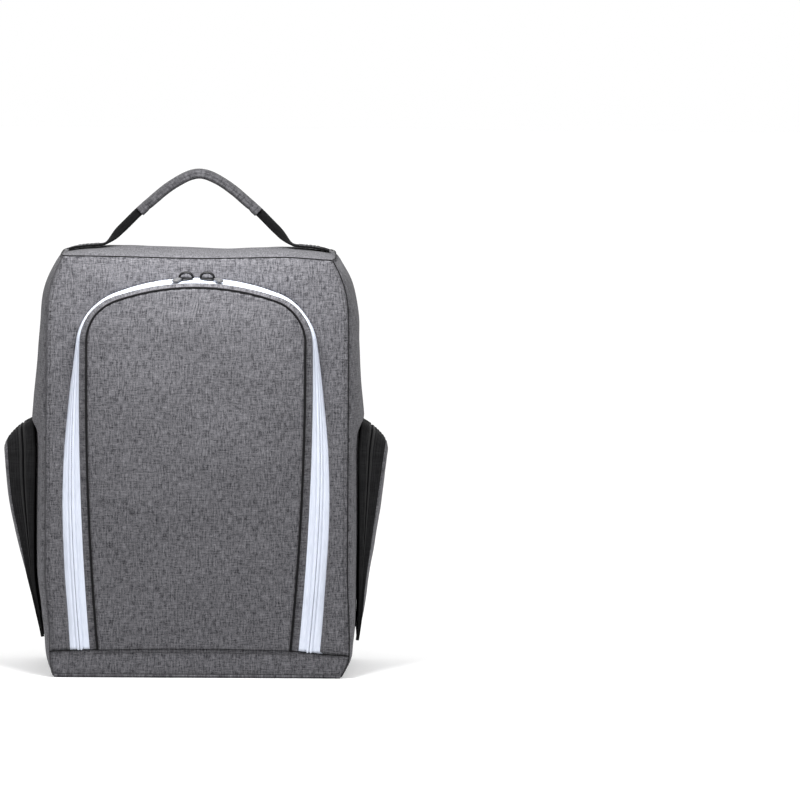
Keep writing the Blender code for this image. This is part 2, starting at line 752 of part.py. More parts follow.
def hang_door():
    travels = []
    for word, side in (("left", -1), ("right", 1)):
        frame = main_slider_frame(side)
        pull = "main_pull_" + word + "_hinge"
        hang(pull, pull_place(frame), ("pull_" + word + "_ring", "pull_" + word + "_tab"))
        slider = "slider_" + word
        travels.append("main_slider_" + word + "_travel")
        centre = (0.0, frame.translation.y, ARC_CENTRE_Z)
        hang(travels[-1], centre, (slider, slider + "_bridge", pull))
    door = ["door_panel", "door_lining", "door_piping", "door_gusset", "zip_tape_door", "zip_coil_door"]
    hang("door_hinge", (0.0, DOOR_HINGE_Y, BAND_TOP), door + travels)


# ---- assembly -----------------------------------------------------------------------------
def build():
    add_base()
    add_back_panel()
    add_front_panel()
    add_top_panel()
    add_lining()
    add_door()
    add_main_zip()
    add_handle()
    for word, side in (("left", -1), ("right", 1)):
        add_side_panel("side_panel_" + word, side)
        add_pocket(word, side)
        frame = main_slider_frame(side)
        add_slider("slider_" + word, frame, METAL)
        add_pull("pull_" + word, frame, MAIN_TAB_LENGTH)
        hang_pocket(word, side)
    hang_door()
    hang("handle_hinge", (0.0, HANDLE_Y, HANDLE_PIVOT_Z), ("handle_webbing", "grip_wrap"))


build()
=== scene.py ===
"""Looks of the shoe bag: sewn fabric shell, zips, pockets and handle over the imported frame.

Every sheet of fabric is a grid of points that follows the frame's shape, puffed and dipped at
its seams, thickened, and unwrapped in metres so that the weave runs along its grain.
"""
import json
import math
from functools import partial

import bmesh
import bpy
from mathutils import Matrix, Vector, noise
from mathutils.bvhtree import BVHTree


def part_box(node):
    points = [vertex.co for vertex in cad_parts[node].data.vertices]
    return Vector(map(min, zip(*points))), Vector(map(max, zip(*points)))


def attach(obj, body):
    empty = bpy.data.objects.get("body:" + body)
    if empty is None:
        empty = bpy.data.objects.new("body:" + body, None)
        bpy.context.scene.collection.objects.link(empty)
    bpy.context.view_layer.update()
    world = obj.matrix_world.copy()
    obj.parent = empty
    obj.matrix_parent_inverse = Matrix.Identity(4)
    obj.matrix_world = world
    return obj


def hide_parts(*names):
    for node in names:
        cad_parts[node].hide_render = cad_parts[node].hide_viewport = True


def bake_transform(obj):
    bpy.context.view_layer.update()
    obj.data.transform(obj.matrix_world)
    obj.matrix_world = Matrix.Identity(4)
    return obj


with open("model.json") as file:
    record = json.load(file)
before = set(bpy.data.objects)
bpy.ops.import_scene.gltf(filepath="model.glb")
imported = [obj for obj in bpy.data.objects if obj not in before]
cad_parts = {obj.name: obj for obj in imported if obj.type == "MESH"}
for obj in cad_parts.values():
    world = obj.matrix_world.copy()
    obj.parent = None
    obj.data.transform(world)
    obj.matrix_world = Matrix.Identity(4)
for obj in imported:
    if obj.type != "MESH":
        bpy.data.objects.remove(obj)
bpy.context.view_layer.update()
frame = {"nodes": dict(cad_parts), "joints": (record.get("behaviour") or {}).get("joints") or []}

# ---- dimensions, in metres: read from the frame where it has them
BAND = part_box("front_base_band")
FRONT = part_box("front_panel")
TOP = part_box("top_panel")
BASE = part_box("base_panel")
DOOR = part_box("door_panel")
SKIN = 0.0025  # thickness of the grey panels
THIN = 0.0012  # of the black fabric and the doubled grey one
FILM = 0.0008  # of the zip tapes and the lining
HEM = 0.0010  # height at which the lowest panels end
SINK = 0.0004  # of the seam lines in their grooves
SEAM_HALF = BAND[1].x
BASE_HALF = BASE[1].x
FRONT_Y = BAND[0].y
BACK_Y = BASE[1].y
BAND_TOP = FRONT[0].z
BAND_EASE = 0.02  # height over which the pieces above take up the band's bow
CROWN = 0.0045  # rise of the top panel's middle
TOP_SEAM = TOP[1].z - CROWN
PANEL_TOP = TOP_SEAM - 0.0006
TOP_BULGE = 0.0035  # how far its short sides swell
TOP_HALF = TOP[1].x - TOP_BULGE
LEAN = (TOP[0].y - FRONT_Y) / (TOP_SEAM - BAND_TOP)
BACK_LEAN = (BACK_Y - TOP[1].y) / TOP_SEAM
SHOULDER = 0.290  # height from which the sides turn in
SHOULDER_POWER = 2.6
SIDE_BULGE = 0.0108
BULGE_HEIGHT = 0.170  # the sides swell up to here and less above BULGE_TOP
BULGE_TOP = 0.200

DOOR_FRONT = DOOR[0].y
DOOR_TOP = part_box("door_piping")[1].z
DOOR_HALF = 0.091
DOOR_CORNER = 0.0365
DOOR_CORNER_Z = 0.2795  # height of the corners' centres
DOOR_WIDE_FROM = 0.250  # the door narrows below this height
DOOR_SIDE_RADIUS = 2.408  # of the long curve of its sides there
GUSSET_WIDTH = 0.0066
GUSSET_REACH = (  # how far the gusset's outer edge stands from the door, by height
    (0.000, 0.0053), (0.270, 0.0050), (0.300, 0.0038), (0.320, 0.0027), (0.400, 0.0025),
)
ZIP_REACH = (  # the same for the zip's outer edge
    (0.000, 0.0246), (0.106, 0.0243), (0.148, 0.0233), (0.189, 0.0206), (0.231, 0.0164),
    (0.254, 0.0134), (0.279, 0.0098), (0.297, 0.0064), (0.308, 0.0054), (0.316, 0.0060),
    (0.322, 0.0066), (0.340, 0.0068),
)

POCKET_Y = 0.005
POCKET_DEPTH = 0.050  # half of its size from front to back
POCKET_FOOT = 0.030
POCKET_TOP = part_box("pocket_left_gusset")[1].z - 0.0035
POCKET_CORNER = 0.030
POCKET_PLANE = 0.129  # how far out the outer face would meet the floor
POCKET_SPLAY = 0.165  # how much further out it stands per metre of height
POCKET_ROUNDING = 0.024
POCKET_ZIP = 0.36  # shares of the way out from the side panel, as are the next three
POCKET_TAPE = 0.13
POCKET_RIM = 0.84
POCKET_GAP = 0.030

HANDLE_Y = 0.011
WEBBING_HALF = 0.011
UNDER_HANDLE = Vector((0.0, HANDLE_Y, 0.2))
HANDLE_ROUTE = (  # right half of the strap, from its sewn end to the crown
    (0.1095, 0.3524), (0.1040, 0.3540), (0.0950, 0.3555), (0.0860, 0.3562), (0.0790, 0.3572),
    (0.0720, 0.3624), (0.0630, 0.3708), (0.0510, 0.3828), (0.0385, 0.3940), (0.0280, 0.4028),
    (0.0175, 0.4098), (0.0080, 0.4145), (0.0000, 0.4160),
)
GRIP_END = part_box("grip_wrap")[1].x - 0.0030
GRIP_SIDES = 40
SLIDER_X = 0.0085  # of the main sliders
SLIDER_LIFT = 0.0016  # off the middle of the zip
SLIDER_SHIFT = Vector((-0.0009, 0.0, 0.0))
RING_SWING = math.radians(38.0)  # the main pulls' rings turn towards the door
TAB_SWING = math.radians(16.0)  # their tabs turn a little further
TAB_DROOP = math.radians(6.0)  # and rest on the falling tape
POCKET_SLIDER_Z = 0.168  # where a pocket's slider rests
CORD = 0.0013  # radius of the cords along the main zip's middle
TUCK = 0.0010  # how far a zip strip runs under its neighbour
SLIDER_LENGTH, SLIDER_WIDTH, SLIDER_PLATE = 0.0120, 0.0072, 0.0008
RING_WIRE = 0.0005  # radius
TAB_WIDTH, TAB_THICK = 0.0056, 0.0018
GRIP_DEPTH, GRIP_HEIGHT = 0.0144, 0.0064
TAIL_IN, TAIL_OUT = 0.0842, 0.1020  # ends of the stitched box on the handle's sewn tail
CUFF_STITCHES = 0.0040  # from the grip's end
STITCH, THREAD = 0.0034, 0.00027  # length of a stitch with its gap, radius of the thread
STITCH_INSET = 0.0036  # of the rows beside the seams
PUCKER_PITCH = 0.0095  # between the small folds along a seam
CORNER_DROOP, TOP_DROOP = 0.0028, 0.0016  # how far the filled bag has settled
DOOR_SHIFT, POCKET_SWELL = 0.0024, 0.0045
LEFT_FOOT_SHIFT, RIGHT_FOOT_SHIFT = 0.0042, 0.0020
FULL_TURN = 2.0 * math.pi
MIDDLE = Vector((0.0, 0.0, 0.18))
SIDES = (("left", -1), ("right", 1))
ACROSS_UP, DEEP_UP, ACROSS_DEEP = (0, 2), (1, 2), (0, 1)  # axes that a panel's weave follows


# ---- numbers and points
def smooth(value):
    value = min(max(value, 0.0), 1.0)
    return value * value * (3.0 - 2.0 * value)


def spread(first, last, steps):
    return [first + (last - first) * i / steps for i in range(steps + 1)]


def between(table, place):
    """A smooth curve through a table of (place, value) pairs."""
    i = 0
    while i < len(table) - 2 and table[i + 1][0] < place:
        i += 1
    (x0, y0), (x1, y1) = table[i], table[i + 1]
    before, after = table[max(i - 1, 0)], table[min(i + 2, len(table) - 1)]
    slope0 = (y1 - before[1]) / (x1 - before[0])
    slope1 = (after[1] - y0) / (after[0] - x0)
    t = min(max((place - x0) / (x1 - x0), 0.0), 1.0)
    square, cube = t * t, t ** 3
    value = y0 * (2 * cube - 3 * square + 1) + y1 * (3 * square - 2 * cube)
    return value + (x1 - x0) * (slope0 * (cube - 2 * square + t) + slope1 * (cube - square))


def bell(distance, width):
    return math.exp(-(distance / width) ** 2)


def squared(value, power):
    """A sine or cosine pushed towards plus or minus 1, which squares off a circle."""
    return math.copysign(abs(value) ** power, value)


def turns(count):
    return [turn * FULL_TURN / count for turn in range(count)]


def mirrored(points):
    return [Vector((-p.x, p.y, p.z)) for p in points]


# ---- the body's shape
def front_y(z):
    return FRONT_Y + LEAN * max(z - BAND_TOP, 0.0)


def back_y(z):
    return BACK_Y - BACK_LEAN * z


def seam_half(z):
    if z < BAND_TOP:
        return SEAM_HALF - (SEAM_HALF - BASE_HALF) * (1.0 - max(z, 0.0) / BAND_TOP) ** 2
    turn = max(z - SHOULDER, 0.0) / (TOP_SEAM - SHOULDER)
    return SEAM_HALF - (SEAM_HALF - TOP_HALF) * turn ** SHOULDER_POWER


def side_bulge(z):
    if z < BULGE_HEIGHT:
        return SIDE_BULGE * (1.0 - (1.0 - z / BULGE_HEIGHT) ** 4)
    fade = smooth((z - BULGE_TOP) / (TOP_SEAM - BULGE_TOP))
    return SIDE_BULGE + (TOP_BULGE - SIDE_BULGE) * fade


def side_x(y, z):
    middle = (front_y(z) + back_y(z)) / 2
    across = (y - middle) / ((back_y(z) - front_y(z)) / 2)
    return seam_half(z) + side_bulge(z) * max(1.0 - across ** 4, 0.0)


def top_reach(y):
    """Half width of the top panel, whose short sides swell a little."""
    near, far = front_y(TOP_SEAM), back_y(TOP_SEAM)
    across = 2.0 * (y - near) / (far - near) - 1.0
    return TOP_HALF + TOP_BULGE * (1.0 - across ** 4)


def top_z(x, y):
    middle = (front_y(TOP_SEAM) + back_y(TOP_SEAM)) / 2
    depth = (back_y(TOP_SEAM) - front_y(TOP_SEAM)) / 2
    along = min(abs(x) / TOP_HALF, 1.0)
    across = (y - middle) / depth
    return TOP_SEAM + CROWN * (1.0 - along ** 6) * max(1.0 - across ** 2, 0.0)


def band_seam(x):
    """The band's top seam bows up a little in the middle."""
    return BAND_TOP - 0.0012 + 0.0030 * (1.0 - (x / SEAM_HALF) ** 2)


def band_shift(x, z):
    """How far a point moves so that the pieces above the band follow its bowed seam."""
    return (band_seam(x) - BAND_TOP) * (1.0 - smooth((z - BAND_TOP) / BAND_EASE))


# ---- the door's edge and the main zip
def door_arc():
    x = DOOR_HALF - DOOR_CORNER
    drop = DOOR_TOP - DOOR_CORNER_Z
    radius = (x ** 2 + drop ** 2 - DOOR_CORNER ** 2) / (2.0 * (drop - DOOR_CORNER))
    return radius, math.atan2(x, DOOR_CORNER_Z - DOOR_TOP + radius)


ARC_RADIUS, ARC_ANGLE = door_arc()
ARC_CENTRE = Vector((0.0, 0.0, DOOR_TOP - ARC_RADIUS))


def side_station(z):
    drop = max(DOOR_WIDE_FROM - z, 0.0)
    return Vector((DOOR_HALF - drop ** 2 / (2 * DOOR_SIDE_RADIUS), 0.0, z)), Vector((1.0, 0.0, 0.0))


def arc_station(centre, radius, angle):
    outward = Vector((math.sin(angle), 0.0, math.cos(angle)))
    return centre + radius * outward, outward


def half_stations(side_steps, corner_steps, arc_steps):
    """Stations up the right side, round the corner and along the top to the middle."""
    corner = Vector((DOOR_HALF - DOOR_CORNER, 0.0, DOOR_CORNER_Z))
    sides = [side_station(z) for z in spread(BAND_TOP, DOOR_CORNER_Z, side_steps)]
    corners = [arc_station(corner, DOOR_CORNER, a) for a in spread(math.pi / 2, ARC_ANGLE, corner_steps)]
    tops = [arc_station(ARC_CENTRE, ARC_RADIUS, a) for a in spread(ARC_ANGLE, 0.0, arc_steps)]
    return sides, corners[1:], tops[1:]


def flip(station):
    point, outward = station
    return Vector((-point.x, 0.0, point.z)), Vector((-outward.x, 0.0, outward.z))


def door_stations():
    sides, corners, tops = half_stations(80, 22, 24)
    right = sides + corners + tops
    return [flip(station) for station in right[:-1]] + right[::-1]


def zip_section(station):
    """(outward, y) of the gusset's start, the gusset's end and the front panel's edge."""
    point, outward = station
    end = between(GUSSET_REACH, point.z)
    start = (0.0004, DOOR_FRONT + 0.0022)
    step = front_y(point.z) + 0.001 - start[1]
    gusset_y = start[1] + min(math.sqrt(GUSSET_WIDTH ** 2 - (end - start[0]) ** 2), 0.3 * step + 0.0002)
    edge = between(ZIP_REACH, point.z)
    return start, (end, gusset_y), (edge, front_y(point.z + outward.z * edge) + 0.001)


def section_point(station, outward, y):
    place = station[0] + station[1] * outward
    return Vector((place.x, y, place.z))


def zip_point(station, part, distance, lift=0.0):
    """A point across the gusset (part 0) or the zip (part 1), lifted off its outer face."""
    section = zip_section(station)
    near, far = Vector(section[part]), Vector(section[part + 1])
    step = (far - near).normalized()
    place = near + step * distance + Vector((step.y, -step.x)) * lift
    return section_point(station, place.x, place.y)


def part_width(station, part):
    section = zip_section(station)
    return math.dist(section[part], section[part + 1])


# ---- how the filled bag has settled
def settled(point):
    """The filled bag isn't quite square.

    Its door sits a little left, its right corners and the middle of its top droop, the left
    pocket swells outwards, and the foot's corners stand a little right.
    """
    x, y, z = point
    ahead = smooth((0.02 - y) / 0.08)
    low = smooth(z / 0.02)
    middle = max(1.0 - (x / SEAM_HALF) ** 2, 0.0)
    corner = smooth((x - 0.070) / 0.050) * (1.0 - smooth((x - 0.130) / 0.010))
    droop = CORNER_DROOP * corner * ahead * bell(z - 0.024, 0.016) * low
    droop += CORNER_DROOP * corner * ahead * smooth((z - 0.300) / 0.050)
    pocket = POCKET_SWELL * smooth((-x - 0.133) / 0.018) * bell(z - 0.148, 0.050)
    droop += TOP_DROOP * bell(x, 0.055) * smooth((z - 0.335) / 0.015) * smooth((0.360 - z) / 0.004)
    left = DOOR_SHIFT * middle * ahead * (1.0 - 0.65 * smooth((z - 0.300) / 0.016))
    foot = 1.0 - smooth((z - 0.030) / 0.060)
    right = LEFT_FOOT_SHIFT * foot * smooth((-x - 0.100) / 0.025) * (0.40 + 0.60 * low)
    right += RIGHT_FOOT_SHIFT * foot * smooth((x - 0.100) / 0.025)
    return Vector((x - left - pocket + right, y, z - droop))


# ---- shader nodes
class Shader:
    """A material whose nodes are added and linked one call at a time."""

    def __init__(self, name, roughness, specular=0.5, **sockets):
        self.material = bpy.data.materials.new(name)
        self.material.use_nodes = True
        self.tree = self.material.node_tree
        self.principled = self.tree.nodes["Principled BSDF"]
        self.principled.inputs["Roughness"].default_value = roughness
        self.principled.inputs["Specular IOR Level"].default_value = specular
        for socket, value in sockets.items():
            self.principled.inputs[socket.replace("_", " ")].default_value = value

    def node(self, kind, inputs=None, **settings):
        """A new node; inputs gives each socket an earlier node's output or a plain value."""
        made = self.tree.nodes.new("ShaderNode" + kind)
        for key, value in settings.items():
            setattr(made, key, value)
        for socket, value in (inputs or {}).items():
            if isinstance(value, bpy.types.NodeSocket):
                self.tree.links.new(value, made.inputs[socket])
            else:
                made.inputs[socket].default_value = value
        return made

    def apply(self, made, socket):
        self.tree.links.new(made.outputs[0], self.principled.inputs[socket])

    def math(self, operation, first, second=0.0):
        return self.node("Math", {0: first, 1: second}, operation=operation).outputs[0]

    def total(self, *pairs):
        """The weighted sum of (value, weight) pairs."""
        total = None
        for value, weight in pairs:
            part = value if weight == 1.0 else self.math("MULTIPLY", value, weight)
            total = part if total is None else self.math("ADD", total, part)
        return total

    def weave_coordinates(self):
        """The weave's coordinates, together and one by one."""
        uv = self.node("UVMap", uv_map="weave").outputs[0]
        return uv, *self.node("SeparateXYZ", {0: uv}).outputs[:2]

    def noise(self, coordinates, scale, detail=2.0, roughness=0.5):
        place = self.node("Mapping", {"Vector": coordinates, "Scale": scale}).outputs[0]
        inputs = {"Vector": place, "Scale": 1.0, "Detail": detail, "Roughness": roughness}
        return self.node("TexNoise", inputs).outputs["Fac"]

    def grain(self, scale, detail=2.0):
        """Noise that runs in no direction, for what isn't woven."""
        return self.noise(self.node("TexCoord").outputs["Object"], (scale, scale, scale), detail)

    def wave(self, coordinate, period):
        return self.math("SINE", self.math("MULTIPLY", coordinate, FULL_TURN / period))

    def colour(self, factor, dark, light, low, high):
        ramp = self.node("ValToRGB", {0: factor})
        for stop, position, shade in zip(ramp.color_ramp.elements, (low, high), (dark, light)):
            stop.position = position
            stop.color = (*shade, 1.0)
        self.apply(ramp, "Base Color")

    def rough(self, factor, low, high):
        self.apply(self.node("MapRange", {0: factor, "To Min": low, "To Max": high}), "Roughness")

    def bump(self, height, distance, strength):
        inputs = {"Strength": strength, "Distance": distance, "Height": height}
        self.apply(self.node("Bump", inputs), "Normal")


def plain_weave(shader, u, v, period):
    """Height of an over-and-under weave, from -1 to 1."""
    return shader.math("MULTIPLY", shader.wave(u, period), shader.wave(v, period))


def heather_material(name, shade=1.0):
    """Melange polyester: every yarn has its own grey, so fine streaks cross each other."""
    shader = Shader(name, 0.9, 0.12, Sheen_Weight=0.04, Sheen_Roughness=0.5)
    uv, u, v = shader.weave_coordinates()
    warp = shader.noise(uv, (830.0, 140.0, 1.0), 3.0, 0.60)
    weft = shader.noise(uv, (150.0, 870.0, 1.0), 3.0, 0.60)
    slub = shader.noise(uv, (1100.0, 1000.0, 1.0), 2.0)
    cloud = shader.noise(uv, (55.0, 40.0, 1.0), 2.0)
    total = shader.total((warp, 0.41), (weft, 0.31), (slub, 0.24), (cloud, 0.04))
    # shade scales both colours; the grip's darker copy uses it as painted shade.
    dark = [shade * part for part in (0.013, 0.013, 0.0155)]
    light = [shade * part for part in (0.160, 0.157, 0.1690)]
    shader.colour(total, dark, light, 0.39, 0.69)
    weave = plain_weave(shader, u, v, 0.0011)
    shader.bump(shader.total((weave, 0.35), (total, 1.0)), 0.00022, 0.7)
    shader.rough(total, 0.95, 0.78)
    return shader.material


def woven_material(name, dark, light, period, sheen=0.01):
    """A plain woven fabric with slightly uneven yarns."""
    shader = Shader(name, 0.85, 0.05, Sheen_Weight=sheen, Sheen_Roughness=0.4)
    uv, u, v = shader.weave_coordinates()
    warp = shader.noise(uv, (900.0, 60.0, 1.0))
    weft = shader.noise(uv, (60.0, 900.0, 1.0))
    yarns = shader.total((warp, 0.5), (weft, 0.5))
    shader.colour(yarns, dark, light, 0.3, 0.7)
    weave = plain_weave(shader, u, v, period)
    shader.bump(shader.total((weave, 0.5), (yarns, 1.0)), 0.0003, 0.6)
    shader.rough(yarns, 0.9, 0.7)
    return shader.material


def webbing_material():
    """Ribbed webbing: herringbone rows along the strap."""
    shader = Shader("black_webbing", 0.6, 0.06, Sheen_Weight=0.01, Sheen_Roughness=0.35)
    uv, u, v = shader.weave_coordinates()
    zigzag = shader.math("ABSOLUTE", shader.math("PINGPONG", v, 0.0022))
    rib = shader.wave(shader.math("ADD", u, zigzag), 0.0014)
    yarns = shader.noise(uv, (300.0, 1500.0, 1.0))
    shader.colour(yarns, (0.0008, 0.0008, 0.001), (0.0050, 0.0050, 0.0053), 0.3, 0.75)
    shader.bump(shader.total((rib, 0.6), (yarns, 1.0)), 0.0004, 0.8)
    shader.rough(yarns, 0.88, 0.7)
    return shader.material


def tape_material(name, dark, light):
    """Knitted zip tape: fine ribs along it and slanted stitches over the two cords."""
    shader = Shader(name, 0.7, 0.15, Sheen_Weight=0.03, Sheen_Roughness=0.4)
    uv, u, v = shader.weave_coordinates()
    ribs = shader.wave(v, 0.0009)
    slant = shader.wave(shader.total((u, 1.0), (v, 0.6)), 0.0013)
    yarns = shader.noise(uv, (120.0, 1400.0, 1.0))
    cloud = shader.noise(uv, (30.0, 500.0, 1.0))
    total = shader.total((yarns, 0.6), (cloud, 0.4))
    shader.colour(total, dark, light, 0.25, 0.75)
    shader.bump(shader.total((ribs, 0.3), (slant, 0.4), (yarns, 1.0)), 0.00022, 0.7)
    shader.rough(total, 0.8, 0.6)
    return shader.material


def lining_material():
    """Thin nylon with a fine ripstop grid and a slight sheen."""
    shader = Shader("nylon_lining", 0.5, Sheen_Weight=0.3, Sheen_Roughness=0.3)
    uv, u, v = shader.weave_coordinates()
    grid = shader.math("MAXIMUM", shader.wave(u, 0.0050), shader.wave(v, 0.0050))
    line = shader.math("GREATER_THAN", grid, 0.96)
    cloud = shader.noise(uv, (60.0, 60.0, 1.0), 3.0)
    total = shader.total((line, 0.3), (cloud, 1.0))
    shader.colour(total, (0.028, 0.028, 0.031), (0.085, 0.085, 0.090), 0.3, 1.0)
    shader.bump(total, 0.0003, 0.5)
    shader.rough(cloud, 0.6, 0.4)
    return shader.material


def metal_material():
    """Black painted zinc, rubbed paler along its edges."""
    shader = Shader("black_painted_metal", 0.4, 0.25)
    edges = shader.node("NewGeometry").outputs["Pointiness"]
    grain = shader.grain(900.0, 3.0)
    worn = shader.total((edges, 1.0), (grain, 0.06))
    shader.colour(worn, (0.0010, 0.0010, 0.0013), (0.010, 0.010, 0.011), 0.62, 0.80)
    shader.bump(grain, 0.00005, 0.5)
    shader.rough(grain, 0.34, 0.55)
    return shader.material


def moulded_material(name, dark, light, roughness):
    """Moulded plastic or coil: faint mottling and a fine spark-eroded grain."""
    shader = Shader(name, roughness)
    cloud = shader.grain(220.0, 3.0)
    grain = shader.grain(2600.0)
    shader.colour(cloud, dark, light, 0.3, 0.7)
    shader.bump(grain, 0.00006, 0.6)
    shader.rough(grain, roughness - 0.08, roughness + 0.1)
    return shader.material


def thread_material(name, dark, light):
    """Twisted polyester thread."""
    shader = Shader(name, 0.6, Sheen_Weight=0.02)
    twist = shader.grain(2500.0, 1.0)
    shader.colour(twist, dark, light, 0.3, 0.7)
    shader.bump(twist, 0.0001, 0.6)
    return shader.material


HEATHER = heather_material("heather_grey_fabric")
# The heather darkened to half as painted shade, used on the grip and on the left front seam.
HEATHER_PAINTED_SHADE = heather_material("heather_grey_painted_shade", 0.5)
PIPING = woven_material("black_piping", (0.002, 0.002, 0.0022), (0.010, 0.010, 0.0108), 0.0008)
BLACK = woven_material("black_fabric", (0.002, 0.002, 0.0023), (0.0145, 0.0145, 0.0153), 0.0010)
WEBBING = webbing_material()
WHITE = tape_material("white_zip_tape", (0.395, 0.425, 0.50), (0.555, 0.588, 0.668))
BLACK_TAPE = tape_material("black_zip_tape", (0.0025, 0.0025, 0.0028), (0.012, 0.012, 0.0127))
# The rod in each pocket zip's gap stands for the coil, and its colour, darker than the tapes, is painted
# shade of the groove.
SHADOW = woven_material("dark_zip_core", (0.0008, 0.0008, 0.001), (0.003, 0.003, 0.0035), 0.0008, 0.0)
LINING = lining_material()
METAL = metal_material()
TAB = moulded_material("pull_tab_rubber", (0.046, 0.046, 0.049), (0.070, 0.070, 0.073), 0.55)
BOARD = moulded_material("base_board_plastic", (0.015, 0.015, 0.015), (0.03, 0.03, 0.03), 0.5)
WHITE_COIL = moulded_material("white_nylon_coil", (0.56, 0.59, 0.68), (0.68, 0.71, 0.78), 0.35)
DARK_THREAD = thread_material("dark_thread", (0.006, 0.006, 0.007), (0.03, 0.03, 0.033))
GREY_THREAD = thread_material("grey_thread", (0.035, 0.035, 0.038), (0.10, 0.10, 0.106))


# ---- fabric, cords and stitches
def resample(points, steps):
    """The same polyline with evenly spaced points."""
    lengths = [0.0]
    for a, b in zip(points, points[1:]):
        lengths.append(lengths[-1] + (b - a).length)
    result = []
    i = 0
    for want in spread(0.0, lengths[-1], steps):
        while i < len(points) - 2 and lengths[i + 1] < want:
            i += 1
        share = (want - lengths[i]) / max(lengths[i + 1] - lengths[i], 1e-9)
        result.append(points[i].lerp(points[i + 1], min(share, 1.0)))
    return result


def coons(bottom, top, left, right):
    """Rows of points that fill four edges, from bottom to top."""
    rows = []
    n, m = len(bottom) - 1, len(left) - 1
    for j in range(m + 1):
        v = j / m
        row = []
        for i in range(n + 1):
            u = i / n
            edges = bottom[i] * (1 - v) + top[i] * v + left[j] * (1 - u) + right[j] * u
            corners = bottom[0] * ((1 - u) * (1 - v)) + bottom[n] * (u * (1 - v))
            corners += top[0] * ((1 - u) * v) + top[n] * (u * v)
            row.append(edges - corners)
        rows.append(row)
    return rows


def travelled(rows):
    """Distance along each row, and along each column, at every point."""
    along = [[0.0] * len(rows[0]) for _ in rows]
    across = [[0.0] * len(rows[0]) for _ in rows]
    for j, row in enumerate(rows):
        for i, point in enumerate(row):
            if i:
                along[j][i] = along[j][i - 1] + (point - row[i - 1]).length
            if j:
                across[j][i] = across[j - 1][i] + (point - rows[j - 1][i]).length
    return along, across


def grid_normals(rows, inside):
    normals = []
    for j, row in enumerate(rows):
        below, above = rows[max(j - 1, 0)], rows[min(j + 1, len(rows) - 1)]
        line = []
        for i in range(len(row)):
            du = row[min(i + 1, len(row) - 1)] - row[max(i - 1, 0)]
            line.append(du.cross(above[i] - below[i]).normalized())
        normals.append(line)
    j, i = len(rows) // 2, len(rows[0]) // 2
    if normals[j][i].dot(rows[j][i] - inside) < 0.0:
        normals = [[-n for n in line] for line in normals]
    return normals


def sewn(rows, inside=MIDDLE, *, puff, roll, crumple, size=0.055, pucker=0.00022, hemmed=False):
    """The rows puffed out between their edges, dipped at the seams and slightly crumpled.

    A hemmed sheet's rows start at a free hem, which neither dips nor puckers.
    """
    along, across = travelled(rows)
    normals = grid_normals(rows, inside)
    result = []
    for j, row in enumerate(rows):
        line = []
        for i, point in enumerate(row):
            side = along[j][-1] - along[j][i]
            if not hemmed:
                side = min(along[j][i], side)
            end = min(across[j][i], across[-1][i] - across[j][i])
            edge = min(side, end)
            run = across[j][i] if side < end else along[j][i]
            free = 1.0 - bell(edge, 0.018)
            lift = puff * free - roll * bell(edge, 0.0032)
            lift += crumple * free * noise.noise(point / size)
            lift += 0.35 * crumple * free * noise.noise(point / (size * 0.4) + Vector((7, 3, 1)))
            wobble = 2.5 * noise.noise(point / 0.03)
            lift += pucker * math.sin(run * FULL_TURN / PUCKER_PITCH + wobble) * math.exp(-edge / 0.007)
            line.append(point + normals[j][i] * lift)
        result.append(line)
    return result


def flat_uv(rows, axes):
    return [[(point[axes[0]], point[axes[1]]) for point in row] for row in rows]


def strip_uv(rows):
    """Coordinates along a strip (u, from row to row) and across it (v)."""
    along, across = travelled(rows)
    middle = len(rows[0]) // 2
    return [[(across[j][middle], along[j][i]) for i in range(len(row))] for j, row in enumerate(rows)]


def linked(name, data, body=None):
    """A new object in the scene, riding on a body if one is named."""
    piece = bpy.data.objects.new(name, data)
    bpy.context.scene.collection.objects.link(piece)
    if body:
        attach(piece, body)
    return piece


def stands_for(piece, slot, *nodes):
    """Hides the CAD nodes that the piece replaces; its slot is not used."""
    if nodes:
        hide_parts(*nodes)
    return piece


def smooth_mesh(name, vertices, faces, material):
    mesh = bpy.data.meshes.new(name)
    mesh.from_pydata(vertices, [], faces)
    mesh.materials.append(material)
    mesh.shade_smooth()
    return mesh


def path_length(points):
    return sum((b - a).length for a, b in zip(points, points[1:]))


def fabric(name, rows, uvs, material, thickness, inside=MIDDLE, wrap=False, body="bag"):
    """A sheet of fabric through rows of points, thickened towards the point inside."""
    width = len(rows[0])
    vertices = [settled(point) for row in rows for point in row]
    faces = []
    for j in range(len(rows) - 1):
        for i in range(width if wrap else width - 1):
            k = (i + 1) % width
            faces.append((j * width + i, j * width + k, (j + 1) * width + k, (j + 1) * width + i))
    centre = (len(rows) // 2) * width + width // 2
    a, b, c = vertices[centre], vertices[centre - 1], vertices[centre - width]
    if (b - a).cross(c - a).dot(a - inside) < 0.0:
        faces = [face[::-1] for face in faces]
    mesh = smooth_mesh(name, vertices, faces, material)
    layer = mesh.uv_layers.new(name="weave")
    flat = [uv for line in uvs for uv in line]
    turn = flat[width - 1][1] - flat[0][1] if wrap else 0.0
    for polygon in mesh.polygons:
        base = flat[mesh.loops[polygon.loop_indices[0]].vertex_index][1]
        for loop in polygon.loop_indices:
            u, v = flat[mesh.loops[loop].vertex_index]
            if wrap and abs(v - base) > abs(turn) / 2:
                v += turn * width / (width - 1) * (1 if v < base else -1)
            layer.data[loop].uv = (u, v)
    piece = linked(name, mesh, body)
    solid = piece.modifiers.new("thickness", "SOLIDIFY")
    solid.thickness = thickness
    solid.offset = -1.0
    return piece


